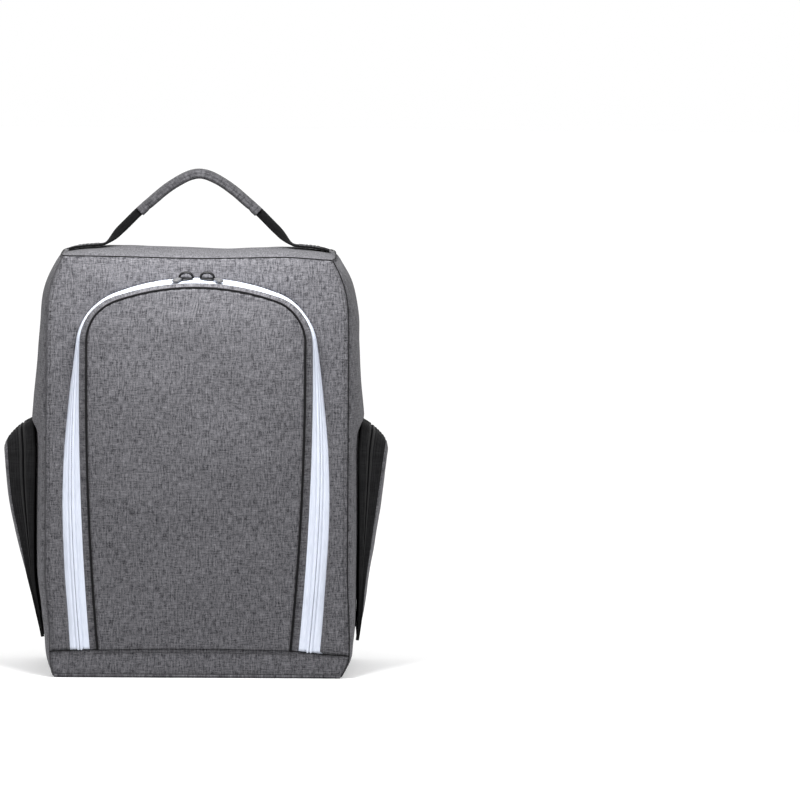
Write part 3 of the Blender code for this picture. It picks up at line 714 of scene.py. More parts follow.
def rod(name, points, radius, material, body="bag", sides=2):
    """A seam line or cord along a path."""
    curve = bpy.data.curves.new(name, "CURVE")
    curve.dimensions = "3D"
    curve.bevel_depth = radius
    curve.bevel_resolution = sides
    curve.use_fill_caps = True
    spline = curve.splines.new("POLY")
    spline.points.add(len(points) - 1)
    for knot, point in zip(spline.points, points):
        knot.co = (*settled(point), 1.0)
    curve.materials.append(material)
    return linked(name, curve, body)


def rod_mesh(name, points, radius, material, sides=2):
    """The same as a plain mesh."""
    line = rod(name, points, radius, material, None, sides)
    graph = bpy.context.evaluated_depsgraph_get()
    mesh = bpy.data.meshes.new_from_object(line.evaluated_get(graph), depsgraph=graph)
    bpy.data.objects.remove(line)
    return linked(name, mesh)


def stitch_row(name, path, on, material=DARK_THREAD, body="bag"):
    """Lockstitches along a path, laid on the outer face of a piece."""
    surface = BVHTree.FromObject(on, bpy.context.evaluated_depsgraph_get())
    marks = resample([settled(p) for p in path], max(int(path_length(path) / STITCH), 1) * 4)
    vertices, faces = [], []
    for k in range(0, len(marks) - 3, 4):
        (a, normal_a, _, _), (b, normal_b, _, _) = map(surface.find_nearest, (marks[k], marks[k + 3]))
        normal = (normal_a + normal_b).normalized()
        if normal.dot(marks[k] - MIDDLE) < 0.0:
            normal.negate()
        aside = (b - a).normalized().cross(normal)
        first = len(vertices)
        vertices.append(a - normal * THREAD)
        for share, size in ((0.12, 0.8), (0.5, 1.0), (0.88, 0.8)):
            middle = a.lerp(b, share) + normal * THREAD * 0.45
            for angle in turns(5):
                outward = aside * math.cos(angle) + normal * math.sin(angle)
                vertices.append(middle + outward * THREAD * size)
        vertices.append(b - normal * THREAD)
        last = len(vertices) - 1
        for turn in range(5):
            after = (turn + 1) % 5
            faces.append((first, first + 1 + after, first + 1 + turn))
            faces.append((last, last - 5 + turn, last - 5 + after))
            for low in (first + 1, first + 6):
                faces.append((low + turn, low + after, low + 5 + after, low + 5 + turn))
    return linked(name, smooth_mesh(name, vertices, faces, material), body)


# ---- the box
def heather_panel(name, rows, axes, node):
    panel = fabric(name, rows, flat_uv(rows, axes), HEATHER, SKIN)
    return stands_for(panel, "heather_fabric", node)


def add_front_panel():
    """The leaning frame round the door: two legs and the yoke above it."""
    sides, corners, tops = half_stations(84, 26, 38)
    outer = [Vector((seam_half(s[0].z), 0.0, s[0].z)) for s in sides]
    heights = spread(sides[-1][0].z, PANEL_TOP, 40)
    outer += resample([Vector((seam_half(z), 0.0, z)) for z in heights], len(corners))[1:]
    outer += [Vector((x, 0.0, PANEL_TOP)) for x in spread(TOP_HALF, 0.0, len(tops))][1:]
    right = []
    for station, seam in zip(sides + corners + tops, outer):
        hem = section_point(station, zip_section(station)[2][0] - 0.0010, 0.0)
        hem.y = front_y(hem.z)
        seam.y = front_y(seam.z)
        row = [hem.lerp(seam, share) for share in spread(0.0, 1.0, 11)]
        right.append([p + Vector((0, 0, band_shift(hem.x, p.z))) for p in row])
    rows = [mirrored(row) for row in right[:-1]] + right[::-1]
    rows = sewn(rows, puff=0.0012, roll=0.0011, crumple=0.0017, size=0.045, pucker=0.0003, hemmed=True)
    panel = heather_panel("front_panel_cloth", rows, ACROSS_UP, "front_panel")
    hem = [section_point(s, zip_section(s)[2][0] + 0.0014, front_y(s[0].z)) for s in door_stations()]
    stitch_row("front_panel_hem_stitches", hem, panel, GREY_THREAD)
    for word, side in SIDES:
        seam = []
        for z in spread(0.027, 0.342, 80):
            seam.append(Vector((side * (seam_half(z) - STITCH_INSET), front_y(z), z)))
        stitch_row("front_seam_stitches_" + word, seam, panel)


def behind_pocket(point):
    """Behind a pocket the side panel lies flat, clear of the pocket's slider."""
    x, y, z = point
    near = smooth((POCKET_DEPTH + 0.022 - abs(y - POCKET_Y)) / 0.012)
    near *= smooth((POCKET_TOP + 0.002 - z) / 0.012)
    limit = side_x(y, z) - 0.0018
    if abs(x) > limit:
        x += (math.copysign(limit, x) - x) * near
    return Vector((x, y, z))


def add_side_panels():
    for word, side in SIDES:
        rows = []
        for z in spread(HEM, PANEL_TOP, 110):
            ys = spread(front_y(z) + SINK, back_y(z) - SINK, 54)
            rows.append([Vector((side * side_x(y, z), y, z)) for y in ys])
        rows = sewn(rows, puff=0.0016, roll=0.0015, crumple=0.0030, size=0.075, pucker=0.00035)
        rows = [[behind_pocket(point) for point in row] for row in rows]
        heather_panel("side_cloth_" + word, rows, DEEP_UP, "side_panel_" + word)


def add_back_panel():
    rows = []
    for z in spread(HEM, PANEL_TOP, 100):
        rows.append([Vector((x, back_y(z), z)) for x in spread(-seam_half(z), seam_half(z), 74)])
    rows = sewn(rows, puff=0.0045, roll=0.0015, crumple=0.0034, size=0.085, pucker=0.00035)
    heather_panel("back_cloth", rows, ACROSS_UP, "back_panel")


def add_top_panel():
    rows = []
    for y in spread(front_y(TOP_SEAM), back_y(TOP_SEAM), 44):
        reach = top_reach(y)
        rows.append([Vector((x, y, top_z(x, y))) for x in spread(-reach, reach, 76)])
    rows = sewn(rows, puff=0.0002, roll=0.0013, crumple=0.0018, size=0.050, pucker=0.0003)
    heather_panel("top_cloth", rows, ACROSS_DEEP, "top_panel")


def add_base():
    rows = []
    for y in spread(FRONT_Y + 0.0002, BACK_Y - 0.0002, 30):
        rows.append([Vector((x, y, 0.0001)) for x in spread(-BASE_HALF, BASE_HALF, 44)])
    heather_panel("base_cloth", rows, ACROSS_DEEP, "base_panel")
    board = frame["nodes"]["base_board"].data.materials
    board.clear()
    board.append(BOARD)


def add_band():
    rows = []
    for share in spread(0.0, 1.0, 12):
        row = []
        for column in spread(-1.0, 1.0, 90):
            z = HEM + (band_seam(column * SEAM_HALF) - HEM) * share
            row.append(Vector((column * seam_half(z), FRONT_Y, z)))
        rows.append(row)
    rows = sewn(rows, puff=0.0007, roll=0.0010, crumple=0.0007, pucker=0.0003)
    band = heather_panel("base_band_cloth", rows, ACROSS_UP, "front_base_band")
    xs = spread(-SEAM_HALF + 0.002, SEAM_HALF - 0.002, 90)
    stitch_row("band_stitches", [Vector((x, FRONT_Y, band_seam(x) - STITCH_INSET)) for x in xs], band)
    xs = spread(-0.119, 0.119, 90)
    stitch_row("band_hem_stitches", [Vector((x, FRONT_Y, 0.0032)) for x in xs], band)


def add_seams():
    """Dark seam lines sunk in the grooves between the panels."""
    near, far, level = front_y(TOP_SEAM), back_y(TOP_SEAM), TOP_SEAM - SINK
    rim = [Vector((x, near + SINK, level)) for x in spread(TOP_HALF, -TOP_HALF, 60)]
    rim += [Vector((SINK - top_reach(y), y, level)) for y in spread(near, far, 30)[1:-1]]
    rim += [Vector((x, far - SINK, level)) for x in spread(-TOP_HALF, TOP_HALF, 60)]
    rim += [Vector((top_reach(y) - SINK, y, level)) for y in spread(far, near, 30)[1:]]
    rod("top_seam", rim, 0.00038, BLACK)
    for word, side in SIDES:
        for place, depth, sink in (("front", front_y, SINK), ("back", back_y, -SINK)):
            line = []
            for z in spread(0.0015, TOP_SEAM - 0.001, 120):
                line.append(Vector((side * (seam_half(z) - 0.0002), depth(z) + sink, z)))
            # The left front seam is painted lighter than the others, in the painted-shade heather grey
            # instead of black.
            faint = word == "left" and place == "front"
            rod(f"{place}_seam_{word}", line, 0.00042, HEATHER_PAINTED_SHADE if faint else BLACK)
    line = [Vector((x, FRONT_Y + 0.0003, band_seam(x))) for x in spread(-SEAM_HALF, SEAM_HALF, 60)]
    rod("band_seam", line, 0.00045, BLACK)
    inset = 0.0008
    front, back, half = FRONT_Y + inset, BACK_Y - inset, BASE_HALF - inset
    corners = ((-half, front), (half, front), (half, back), (-half, back), (-half, front))
    rod("base_seam", resample([Vector((x, y, HEM)) for x, y in corners], 120), 0.0007, BLACK)


def add_lining():
    """The main compartment's lining: a wall on three sides, a floor and a ceiling."""
    inset = SKIN + 0.0012
    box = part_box("main_lining")
    low, high = box[0].z + 0.0006, box[1].z - 0.0006
    rows = []
    for z in spread(low, high, 80):
        half = seam_half(z) - inset
        ahead, behind = front_y(z) + inset, back_y(z) - inset
        corners = ((-half, ahead), (-half, behind), (half, behind), (half, ahead))
        rows.append(resample([Vector((x, y, z)) for x, y in corners], 120))
    rows = sewn(rows, puff=-0.0012, roll=0.0, crumple=0.0009, size=0.05, pucker=0.0)
    wall = fabric("lining_wall", rows, strip_uv(rows), LINING, FILM)
    stands_for(wall, "lining_fabric", "main_lining")
    for name, z in (("lining_floor", low), ("lining_ceiling", high)):
        rows = []
        half = seam_half(z) - inset - 0.0004
        for y in spread(front_y(z) + inset, back_y(z) - inset, 40):
            rows.append([Vector((x, y, z)) for x in spread(-half, half, 60)])
        rows = sewn(rows, puff=-0.0010, roll=0.0, crumple=0.0006, size=0.05, pucker=0.0)
        stands_for(fabric(name, rows, flat_uv(rows, ACROSS_DEEP), LINING, FILM), "lining_fabric")


# ---- the door and the main zip
def bend_at_hinge(piece):
    """Bakes the piece's place into its mesh."""
    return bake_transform(piece)


def door_rows(inset, y, columns, lines):
    """Rows that fill the door's outline, from its foot to its crown."""
    sides, corners, tops = half_stations(60, 24, 24)
    half = [section_point(s, -inset, y) for s in sides + corners[:12]]
    crown = [section_point(s, -inset, y) for s in corners[11:] + tops]
    for point in half:
        point.z += band_shift(point.x, point.z)
    right = resample(half, lines)
    left = mirrored(right)
    top = resample(mirrored(crown[:-1]) + crown[::-1], columns)
    foot = [Vector((x, y, band_seam(x))) for x in spread(left[0].x, right[0].x, columns)]
    return coons(foot, top, left, right)


def add_door():
    rows = door_rows(0.0011, DOOR_FRONT + 0.0008, 70, 104)
    rows = sewn(rows, puff=0.0022, roll=0.0, crumple=0.0022, size=0.06)
    uvs = flat_uv(rows, ACROSS_UP)
    panel = fabric("door_cloth", rows, uvs, HEATHER, DOOR[1].y - DOOR[0].y, body=None)
    stands_for(panel, "heather_fabric", "door_panel")
    rows = door_rows(0.0030, DOOR[1].y + 0.0010, 40, 60)
    rows = sewn(rows, puff=-0.0003, roll=0.0, crumple=0.0004)
    lining = fabric("door_lining_cloth", rows, flat_uv(rows, ACROSS_UP), LINING, FILM, body=None)
    stands_for(lining, "lining_fabric", "door_lining")
    path = [section_point(s, -0.0001, DOOR_FRONT + 0.0009) for s in door_stations()]
    piping = rod_mesh("door_piping_cord", path, 0.00085, PIPING)
    stands_for(piping, "black_webbing", "door_piping")
    for piece in (panel, lining, piping):
        bend_at_hinge(piece)


def place_zip_piece(piece, body):
    """The door's half of the zip is baked in place; the bag's half just rides."""
    if body == "door":
        bend_at_hinge(piece)
    else:
        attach(piece, body)


def zip_strip(name, part, columns, material, thickness, node, slot, body):
    """A strip along the whole zip; columns give (distance, lift) pairs for a width."""
    rows = []
    for station in door_stations():
        pairs = columns(part_width(station, part))
        rows.append([zip_point(station, part, distance, lift) for distance, lift in pairs])
    strip = fabric(name, rows, strip_uv(rows), material, thickness, body=None)
    stands_for(strip, slot, node)
    place_zip_piece(strip, body)


def cord_lift(distance):
    """Height of the tape over the coil: a rounded cord beside the middle, then a faint rib."""
    if distance < 2 * CORD:
        return 0.0010 * math.sqrt(max(1.0 - ((distance - CORD) / CORD) ** 2, 0.0))
    return 0.00035 * bell(distance - 0.0046, 0.0006) - 0.0004 * bell(distance - 0.0029, 0.0004)


CORD_STEPS = (0.0001, 0.0004, 0.0008, 0.0013, 0.0018, 0.0022, 0.0025, 0.0028, 0.0036, 0.0046, 0.0056)


def tape_columns(towards, width):
    """(distance, lift) pairs across half the zip, from its cord to its sewn edge."""
    steps = CORD_STEPS + tuple(spread(CORD_STEPS[-1], width / 2 + TUCK, 3)[1:])
    return [(width / 2 + towards * step, cord_lift(step)) for step in steps]


def gusset_columns(width):
    """The same across the gusset, which rises to its seam with the zip."""
    pairs = []
    for distance in spread(0.0, width + TUCK, 6):
        rise = 0.0007 * smooth((distance - width + 0.003) / 0.003)
        pairs.append((distance, rise - 0.0003 * bell(distance - width - TUCK, 0.0005)))
    return pairs


def add_main_zip():
    halves = (("door", -1), ("bag", 1))
    for body, side in halves:
        zip_strip(
            "zip_tape_cloth_" + body, 1, partial(tape_columns, side), WHITE, FILM,
            "zip_tape_" + body, "white_zip_tape", body,
        )
    zip_strip(
        "door_gusset_cloth", 0, gusset_columns, HEATHER, THIN, "door_gusset", "heather_fabric", "door"
    )
    for body, side in halves:
        add_coil(body, side)


def add_coil(body, side):
    """The nylon coil behind the tape, wound as a helix along its edge."""
    pitch, radius, sink = 0.0019, 0.0009, -0.0022
    spine = []
    for station in door_stations():
        spine.append(zip_point(station, 1, part_width(station, 1) / 2 + side * CORD, sink))
    points = resample(spine, int(path_length(spine) / pitch) * 8)
    path = []
    for k, point in enumerate(points[:-1]):
        tangent = (points[k + 1] - point).normalized()
        outward = (point - MIDDLE - tangent * (point - MIDDLE).dot(tangent)).normalized()
        aside = tangent.cross(outward)
        angle = k * FULL_TURN / 8
        path.append(point + (outward * math.sin(angle) * 0.7 + aside * math.cos(angle)) * radius)
    coil = rod_mesh("zip_coil_" + body + "_helix", path, 0.00030, WHITE_COIL, sides=0)
    stands_for(coil, "white_zip_coil", "zip_coil_" + body)
    place_zip_piece(coil, body)


# ---- sliders and pulls
def slider_frame(origin, along, up):
    z_axis = (up - along * up.dot(along)).normalized()
    place = Matrix((along, z_axis.cross(along), z_axis)).transposed().to_4x4()
    place.translation = origin + z_axis * SLIDER_LIFT
    return place


def main_slider_frame(side):
    station = arc_station(ARC_CENTRE, ARC_RADIUS, side * math.asin(SLIDER_X / ARC_RADIUS))
    origin = zip_point(station, 1, part_width(station, 1) / 2)
    across = zip_point(station, 1, 0.001) - zip_point(station, 1, 0.0)
    along = Vector((station[1].z, 0.0, -station[1].x)) * side
    up = across.cross(along)
    return slider_frame(origin + SLIDER_SHIFT, along, up if up.z > 0.0 else -up)


def skin(bm, rings, closed=False):
    """Faces between rings of vertices, with caps unless the last ring meets the first."""
    pairs = list(zip(rings, rings[1:])) + ([(rings[-1], rings[0])] if closed else [])
    for near, far in pairs:
        for i in range(len(near)):
            j = (i + 1) % len(near)
            bm.faces.new((near[i], near[j], far[j], far[i]))
    if not closed:
        bm.faces.new(rings[0])
        bm.faces.new(rings[-1])


def slab(bm, outline, low, high):
    """A plate with the given outline in the XY plane."""
    skin(bm, [[bm.verts.new((x, y, z)) for x, y in outline] for z in (low, high)])


def wire(bm, path, half_width, half_height, closed=False, sides=10):
    """A rounded bar swept along a path in the XZ or XY plane."""
    rings = []
    count = len(path)
    for k, point in enumerate(path):
        before = path[(k - 1) % count] if closed else path[max(k - 1, 0)]
        after = path[(k + 1) % count] if closed else path[min(k + 1, count - 1)]
        tangent = (after - before).normalized()
        aside = Vector((0, 1, 0)) if abs(tangent.y) < 1e-6 and not closed else Vector((0, 0, 1))
        outward = tangent.cross(aside).normalized()
        ring = []
        for angle in turns(sides):
            x = squared(math.cos(angle), 0.7) * half_width
            y = squared(math.sin(angle), 0.7) * half_height
            ring.append(bm.verts.new(point + aside * x + outward * y))
        rings.append(ring)
    skin(bm, rings, closed)


def hardware(name, bm, place, material, body, node, slot, bevel=0.0):
    """A hard part made in its own frame and put in its place."""
    bmesh.ops.recalc_face_normals(bm, faces=bm.faces[:])
    bm.transform(place)
    mesh = bpy.data.meshes.new(name)
    bm.to_mesh(mesh)
    bm.free()
    mesh.materials.append(material)
    mesh.shade_smooth()
    piece = linked(name, mesh, body)
    if bevel:
        rounding = piece.modifiers.new("rounding", "BEVEL")
        rounding.width = bevel
        rounding.segments = 3
        rounding.limit_method = "ANGLE"
    stands_for(piece, slot, node)


def add_slider(name, place, body, node):
    """A waisted slider body with an arched bridge over it."""
    outline = []
    for angle in spread(0.0, FULL_TURN, 40)[:-1]:
        x = squared(math.cos(angle), 0.55) * SLIDER_LENGTH / 2
        y = squared(math.sin(angle), 0.6) * SLIDER_WIDTH / 2
        outline.append((x, y * (1.0 - 0.22 * bell(x + 0.0042, 0.0028))))
    bm = bmesh.new()
    slab(bm, outline, 0.0, SLIDER_PLATE)
    hardware(name + "_body", bm, place, METAL, body, node, "black_metal", bevel=0.0005)
    arch = []
    for angle in spread(0.0, math.pi, 20):
        height = 0.0004 + 0.0052 * math.sin(angle) ** 0.8
        arch.append(Vector((0.0056 * math.cos(angle), 0.0, height)))
    bm = bmesh.new()
    wire(bm, arch, 0.0013, 0.00095)
    hardware(name + "_bridge", bm, place, METAL, body, node, "black_metal")


def rounded_box(half_length, half_width, radius, centre_x):
    """The outline of a box with rounded corners, centred on (centre_x, 0)."""
    points = []
    corners = ((1, 1), (-1, 1), (-1, -1), (1, -1))
    for quarter, (sx, sy) in enumerate(corners):
        for angle in spread(quarter * math.pi / 2, (quarter + 1) * math.pi / 2, 6):
            x = centre_x + sx * (half_length - radius) + radius * math.cos(angle)
            points.append((x, sy * (half_width - radius) + radius * math.sin(angle)))
    return points


def joint_place(joint):
    """Where a joint of the frame turns."""
    return next(Vector(entry["pos_m"]) for entry in frame["joints"] if entry["name"] == joint)


def add_pull(name, place, body, prefix, reach, length, ring_swing=0.0, tab_swing=0.0, droop=0.0):
    """A wire ring through the bridge, and a moulded tab with grip ribs."""
    pivot = place.copy()
    pivot.translation = joint_place(body + "_hinge")
    pivot = pivot @ Matrix.Rotation(ring_swing, 4, "Z")
    bm = bmesh.new()
    loop = rounded_box(reach / 2 - 0.0005, 0.0019, 0.0012, reach / 2 + 0.0005)
    wire(bm, [Vector((x, y, 0.0)) for x, y in loop], RING_WIRE, RING_WIRE, closed=True, sides=8)
    hardware(name + "_ring_wire", bm, pivot, METAL, body, prefix + "_ring", "black_metal")
    turn = Matrix.Rotation(tab_swing, 4, "Z") @ Matrix.Rotation(droop, 4, "Y")
    pivot = pivot @ Matrix.Translation((reach, 0.0, 0.0)) @ turn
    start, thick = -0.0008, TAB_THICK / 2
    bm = bmesh.new()
    slab(bm, rounded_box(length / 2, TAB_WIDTH / 2, 0.0018, start + length / 2), -thick, thick)
    hardware(name + "_tab_core", bm, pivot, TAB, body, prefix + "_tab", "pull_tab", bevel=0.0005)
    bm = bmesh.new()
    for x in spread(start + 0.35 * length, start + 0.85 * length, 5):
        for face in (thick, -thick):
            rib(bm, [Vector((x, y, face)) for y in (-0.0019, -0.0010, 0.0, 0.0010, 0.0019)], 0.00042)
    hardware(name + "_tab_ribs", bm, pivot, TAB, body, prefix + "_tab", "pull_tab")


def rib(bm, path, radius):
    """A small round bar along Y with tapered ends."""
    rings = []
    for point in path:
        size = radius * (0.55 if point in (path[0], path[-1]) else 1.0)
        around = [Vector((math.cos(angle), 0, math.sin(angle))) for angle in turns(8)]
        rings.append([bm.verts.new(point + outward * size) for outward in around])
    skin(bm, rings)


# ---- side pockets
def pocket_face_x(z):
    """The pocket's outer face, drawn in to the side panel at its foot."""
    foot = side_x(POCKET_Y, z) + 0.0012
    plane = POCKET_PLANE + POCKET_SPLAY * z
    return foot + (plane - foot) * smooth((z - POCKET_FOOT + 0.010) / 0.030)


def pocket_stations():
    """(y, z) points of the base outline with outward directions, front foot to back foot."""
    stations = []
    edge = POCKET_Y - POCKET_DEPTH
    shoulder = POCKET_TOP - POCKET_CORNER
    for z in spread(POCKET_FOOT, shoulder, 48)[:-1]:
        stations.append(((edge, z), (-1.0, 0.0)))
    for angle in spread(math.pi, math.pi / 2, 18):
        direction = (math.cos(angle), math.sin(angle))
        y = edge + POCKET_CORNER + POCKET_CORNER * direction[0]
        stations.append(((y, shoulder + POCKET_CORNER * direction[1]), direction))
    for y in spread(edge + POCKET_CORNER, POCKET_Y, 8)[1:]:
        stations.append(((y, POCKET_TOP), (0.0, 1.0)))
    mirror = [((2 * POCKET_Y - y, z), (-dy, dz)) for (y, z), (dy, dz) in stations[:-1]]
    return stations + mirror[::-1]


def pocket_point(side, station, share, lift=0.0):
    """A point between the side panel (share 0) and the outer face (share 1)."""
    (y, z), (out_y, out_z) = station
    foot = side_x(y, z) + 0.0008
    rounding = min(POCKET_ROUNDING, pocket_face_x(z) - side_x(y, z))
    inset = rounding * (0.65 * share + 0.35 * (1.0 - math.sqrt(max(1.0 - share * share, 0.0)))) - lift
    place_z = z - out_z * inset
    x = foot + (pocket_face_x(place_z) - foot) * share
    return Vector((side * x, y - out_y * inset, place_z))


def pocket_inside(side):
    return Vector((side * 0.120, POCKET_Y, 0.120))


def place_pocket_piece(piece, body):
    """A bag piece just rides; a flap piece is baked in place."""
    if body == "bag":
        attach(piece, "bag")
        return
    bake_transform(piece)


def pocket_strip(name, node, body, side, across, material, thickness, slot):
    """A strip round the pocket; across gives the shares and lifts of its columns."""
    rows = []
    for station in pocket_stations():
        line = []
        for share, lift in zip(*across):
            point = pocket_point(side, station, share, lift)
            line.append(point + Vector((0, 0, 0.0004 * noise.noise(point / 0.02))))
        rows.append(line)
    strip = fabric(name, rows, strip_uv(rows), material, thickness, pocket_inside(side), body=None)
    stands_for(strip, slot, node)
    place_pocket_piece(strip, body)


def pocket_face_rows(side):
    """The face's rounded rim, station by station, and rows across the flatter middle."""
    shares = (POCKET_RIM, 0.87, 0.90, 0.93, 0.96, 0.985, 1.0)
    outline = [[pocket_point(side, s, share) for share in shares] for s in pocket_stations()]
    half = len(outline) // 2
    crown = 8
    edge = [line[-1] for line in outline]
    left = edge[: half + 1 - crown]
    right = edge[: half - 1 + crown: -1]
    top = edge[half - crown: half + crown + 1]
    foot = [left[0].lerp(right[0], share) for share in spread(0.0, 1.0, 2 * crown)]
    return outline, coons(foot, top, left, right)


def add_pocket_face(word, side):
    outline, rows = pocket_face_rows(side)
    prefix, inside = "pocket_" + word, pocket_inside(side)
    rows = sewn(rows, inside, puff=0.0022, roll=0.0, crumple=0.0012, size=0.045, pucker=0.0)
    face = fabric(prefix + "_face_cloth", rows, flat_uv(rows, DEEP_UP), HEATHER, THIN, inside, body=None)
    rim = fabric(prefix + "_rim_cloth", outline, strip_uv(outline), HEATHER, THIN, inside, body=None)
    for piece in (face, rim):
        stands_for(piece, "heather_fabric", prefix + "_face")
    path = [line[0].lerp(line[1], 0.2) for line in outline]
    seam = stands_for(rod_mesh(prefix + "_edge_seam", path, 0.0006, BLACK), "black_fabric")
    path = [line[3] for line in outline]
    stitches = stitch_row(prefix + "_face_stitches", path, rim, GREY_THREAD, body=None)
    for piece in (face, rim, seam, stitches):
        place_pocket_piece(piece, "pocket_flap_" + word)


def pocket_tape(start, end):
    """Shares and lifts across one black tape, with its cord at the end that is at the zip."""
    shares = spread(start, end, 8)
    lifts = []
    for share in shares:
        near = abs(share - POCKET_ZIP)
        lifts.append(0.0007 * math.sqrt(max(1.0 - ((near - 0.055) / 0.055) ** 2, 0.0)))
    return shares, lifts


def pocket_slider_frame(side):
    back = POCKET_Y + POCKET_DEPTH
    high = pocket_point(side, ((back, POCKET_SLIDER_Z), (1.0, 0.0)), POCKET_ZIP)
    low = pocket_point(side, ((back, 0.060), (1.0, 0.0)), POCKET_ZIP)
    travel = Vector((low.x - high.x, 0.0, low.z - high.z)).normalized()
    return slider_frame(Vector((high.x, back, high.z)), travel, Vector((0.0, 1.0, 0.0)))


def add_pocket(word, side):
    prefix, flap = "pocket_" + word, "pocket_flap_" + word
    low, high = POCKET_ZIP - POCKET_TAPE, POCKET_ZIP + POCKET_TAPE
    overlap = 0.02
    band = spread(0.0, low + overlap, 4), (0.0, 0.0002, 0.0003, 0.0004, 0.0006)
    bag_tape = pocket_tape(low, POCKET_ZIP - POCKET_GAP)
    flap_tape = pocket_tape(POCKET_ZIP + POCKET_GAP, high)
    creases = [0.0002 + 0.0006 * abs(math.sin(0.55 * k)) for k in range(24)] + [-0.0002]
    flap_band = spread(high - overlap, POCKET_RIM + 0.01, 24), creases
    for name, node, body, across, material, thickness, slot in (
        ("_gusset_cloth", "_gusset", "bag", band, BLACK, THIN, "black_fabric"),
        ("_tape_cloth_bag", "_zip_tape_bag", "bag", bag_tape, BLACK_TAPE, FILM, "black_zip_tape"),
        ("_tape_cloth_flap", "_zip_tape_flap", flap, flap_tape, BLACK_TAPE, FILM, "black_zip_tape"),
        ("_flap_cloth", "_flap_gusset", flap, flap_band, BLACK, THIN, "black_fabric"),
    ):
        pocket_strip(prefix + name, prefix + node, body, side, across, material, thickness, slot)
    line = [pocket_point(side, station, POCKET_ZIP, -0.0012) for station in pocket_stations()]
    # The coil in the zip's gap, darkened below the tapes as painted shade of the groove.
    rod(prefix + "_zip_core", line, 0.0012, SHADOW)
    add_pocket_face(word, side)
    place = pocket_slider_frame(side)
    add_slider(prefix + "_slider", place, "side_slider_" + word, prefix + "_slider")
    add_pull(prefix + "_pull", place, "side_pull_" + word, prefix + "_pull", 0.0065, 0.0155)


# ---- the handle
def catmull_rom(route, steps):
    points = []
    for i in range(len(route) - 1):
        a, b, c = route[max(i - 1, 0)], route[i], route[i + 1]
        d = route[min(i + 2, len(route) - 1)]
        for t in spread(0.0, 1.0, steps)[:-1]:
            square, cube = t * t, t ** 3
            point = a * (-t + 2 * square - cube) + b * (2 - 5 * square + 3 * cube)
            points.append((point + c * (t + 4 * square - 3 * cube) + d * (cube - square)) / 2)
    return points + [route[-1]]


def handle_path():
    right = [Vector((x, HANDLE_Y, z)) for x, z in HANDLE_ROUTE]
    return resample(catmull_rom(mirrored(right[:-1]) + right[::-1], 12), 300)


def path_up(path, k):
    """The path's upward direction at a point."""
    tangent = (path[min(k + 1, len(path) - 1)] - path[max(k - 1, 0)]).normalized()
    return Vector((-tangent.z, 0.0, tangent.x))


def add_strap():
    """One webbing from end to end: flat where it is sewn down, curled up along the handle."""
    path = handle_path()
    rows = []
    for k, point in enumerate(path):
        up = path_up(path, k)
        curl = 0.05 + 1.75 * smooth((0.0795 - abs(point.x)) / 0.016)
        radius = WEBBING_HALF / curl
        height = radius * (1.0 - math.cos(curl))
        row = []
        for share in spread(-1.0, 1.0, 14):
            angle = share * curl
            rise = radius * (math.cos(angle) - 1.0) + height / 2
            row.append(point + up * (rise + 0.0006) + Vector((0, radius * math.sin(angle), 0)))
        rows.append(row)
    strap = fabric("handle_strap", rows, strip_uv(rows), WEBBING, 0.0015, UNDER_HANDLE, body=None)
    stands_for(strap, "black_webbing", "handle_webbing", "webbing_tail_left", "webbing_tail_right")
    for word, side in SIDES:
        corners = [(TAIL_IN, -1), (TAIL_OUT, -1), (TAIL_OUT, 1), (TAIL_IN, 1), (TAIL_IN, -1)]
        corners += [(TAIL_OUT, 1), (TAIL_OUT, -1), (TAIL_IN, 1)]
        box = [Vector((side * x, HANDLE_Y + y * 0.0085, 0.3570)) for x, y in corners]
        stitch_row("tail_stitches_" + word, resample(box, 200), strap, GREY_THREAD)
    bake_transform(strap)


def grip_ring(point, up, angles):
    """One section of the grip: a rounded oval, creased, with a cuff near its ends."""
    end = GRIP_END - abs(point.x)
    cuff = smooth((0.0052 - end) / 0.0012)
    pinch = bell(end - 0.0060, 0.0012)
    ring = []
    for angle in angles:
        rise = squared(math.sin(angle), 0.75) * GRIP_HEIGHT / 2
        aside = squared(math.cos(angle), 0.75) * GRIP_DEPTH / 2
        crease = noise.noise(Vector((point.x / 0.011, angle * 0.8, 0.0)))
        crease += 0.5 * noise.noise(Vector((point.x / 0.004, angle * 1.5, 5.0)))
        seam = bell(math.remainder(angle - math.pi, FULL_TURN), 0.13)
        size = 1.0 + 0.05 * cuff - 0.09 * pinch + 0.055 * crease * (1.0 - cuff) - 0.10 * seam
        ring.append(point + (up * rise + Vector((0, aside, 0))) * size)
    return ring


def add_grip():
    """A padded sleeve round the strap, with a seam along its front and a stitched cuff each end."""
    path = [p for p in handle_path() if abs(p.x) <= GRIP_END]
    ups = [path_up(path, k) for k in range(len(path))]
    rings = [grip_ring(point, up, turns(GRIP_SIDES)) for point, up in zip(path, ups)]
    around, along = travelled(rings)
    uvs = [[(down[0], across) for across in line] for down, line in zip(along, around)]
    # The grip's cloth is the heather darkened to half: painted shade.
    grip = fabric("grip_cloth", rings, uvs, HEATHER_PAINTED_SHADE, 0.0010, UNDER_HANDLE, wrap=True, body="handle")
    stands_for(grip, "heather_fabric", "grip_wrap")
    for name, height in (("front", 0.0013), ("front_lower", -0.0013)):
        line = [point + up * height + Vector((0, -0.0080, 0)) for point, up in zip(path, ups)]
        stitch_row("grip_stitches_" + name, line, grip, body="handle")
    seam = [ring[GRIP_SIDES // 2] + Vector((0, 0.0002, 0)) for ring in rings]
    rod("grip_seam", seam, 0.0005, PIPING, body="handle")
    for word, order in (("left", rings), ("right", rings[::-1])):
        end = order[0][0].x
        ring = next(ring for ring in order if abs(ring[0].x - end) >= CUFF_STITCHES)
        stitch_row("cuff_stitches_" + word, ring + ring[:1], grip, body="handle")


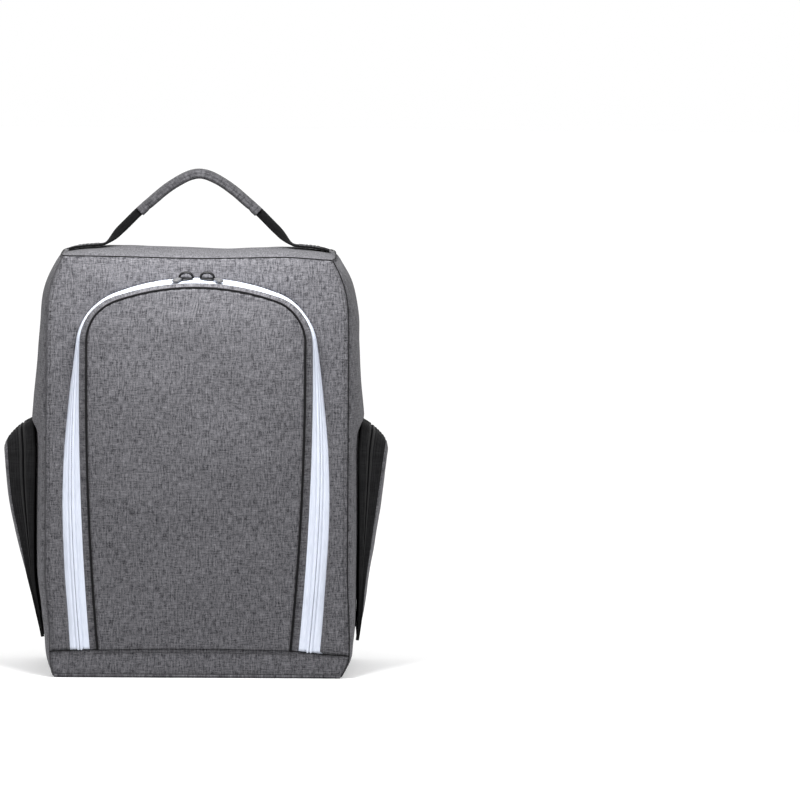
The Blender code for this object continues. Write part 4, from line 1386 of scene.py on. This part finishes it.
# ---- stage
def add_stage():
    shader = Shader("pale_floor", 0.8, Emission_Color=(1.0, 1.0, 1.0, 1.0), Emission_Strength=0.16)
    cloud = shader.grain(3.0)
    shader.colour(cloud, (0.86, 0.86, 0.86), (0.89, 0.89, 0.89), 0.3, 0.7)
    bm = bmesh.new()
    bmesh.ops.create_circle(bm, cap_ends=True, segments=64, radius=14.0)
    mesh = bpy.data.meshes.new("floor")
    bm.to_mesh(mesh)
    bm.free()
    mesh.materials.append(shader.material)
    floor = linked("floor", mesh)
    floor.location.z = -0.0002


def add_light(name, place, aim, size, power):
    light = bpy.data.lights.new(name, "AREA")
    light.shape = "DISK"
    light.size = size
    light.energy = power
    lamp = linked(name, light)
    lamp.location = place
    lamp.visible_camera = False
    lamp.rotation_euler = (Vector(aim) - Vector(place)).to_track_quat("-Z", "Y").to_euler()


def add_lights():
    """A white studio dome, a small softbox close over the front edge and two weak side fills."""
    world = bpy.data.worlds.new("studio")
    bpy.context.scene.world = world
    world.use_nodes = True
    colour, strength = world.node_tree.nodes["Background"].inputs[:2]
    colour.default_value = (1.0, 1.0, 1.0, 1.0)
    strength.default_value = 1.0
    add_light("top_softbox", (0.0, -0.225, 0.535), (0.0, -0.07, 0.31), 0.18, 3.6)
    for word, side in SIDES:
        add_light("side_fill_" + word, (side * 1.1, -0.02, 0.32), (0.0, 0.0, 0.20), 0.7, 3.4)
    bpy.context.scene.view_settings.view_transform = "Standard"


def add_camera():
    """A long lens nearly straight in front of the bag, turned so that the bag stands to the left."""
    distance = 6.0
    view_width = 0.664
    stand = 0.078  # how far right of the bag's middle the camera stands
    offset = 0.1685  # how far right of the bag's middle the camera looks
    elevation, roll = math.radians(4.0), math.radians(0.4)
    azimuth = math.asin((stand - offset) / distance)
    level = math.cos(elevation)
    back = Vector((math.sin(azimuth) * level, -math.cos(azimuth) * level, math.sin(elevation)))
    aim = Vector((offset, FRONT_Y, 0.2328))
    camera = bpy.data.cameras.new("camera")
    camera.sensor_width = 36.0
    camera.lens = camera.sensor_width * distance / view_width
    camera.clip_end = 60.0
    viewer = linked("camera", camera)
    turn = back.to_track_quat("Z", "Y").to_matrix() @ Matrix.Rotation(roll, 3, "Z")
    viewer.matrix_world = Matrix.Translation(aim + back * distance) @ turn.to_4x4()
    bpy.context.scene.camera = viewer


# ---- assembly
def add_main_slider(word, side):
    place = main_slider_frame(side)
    add_slider("slider_" + word, place, "main_slider_" + word, "slider_" + word)
    add_pull(
        "main_pull_" + word, place, "main_pull_" + word, "pull_" + word, 0.0052, 0.0084,
        -side * RING_SWING, -side * TAB_SWING, TAB_DROOP,
    )


def build():
    add_camera()
    add_lights()
    add_stage()
    add_front_panel()
    add_side_panels()
    add_back_panel()
    add_top_panel()
    add_base()
    add_band()
    add_seams()
    add_lining()
    add_door()
    add_main_zip()
    add_strap()
    add_grip()
    for word, side in SIDES:
        add_pocket(word, side)
        add_main_slider(word, side)


build()
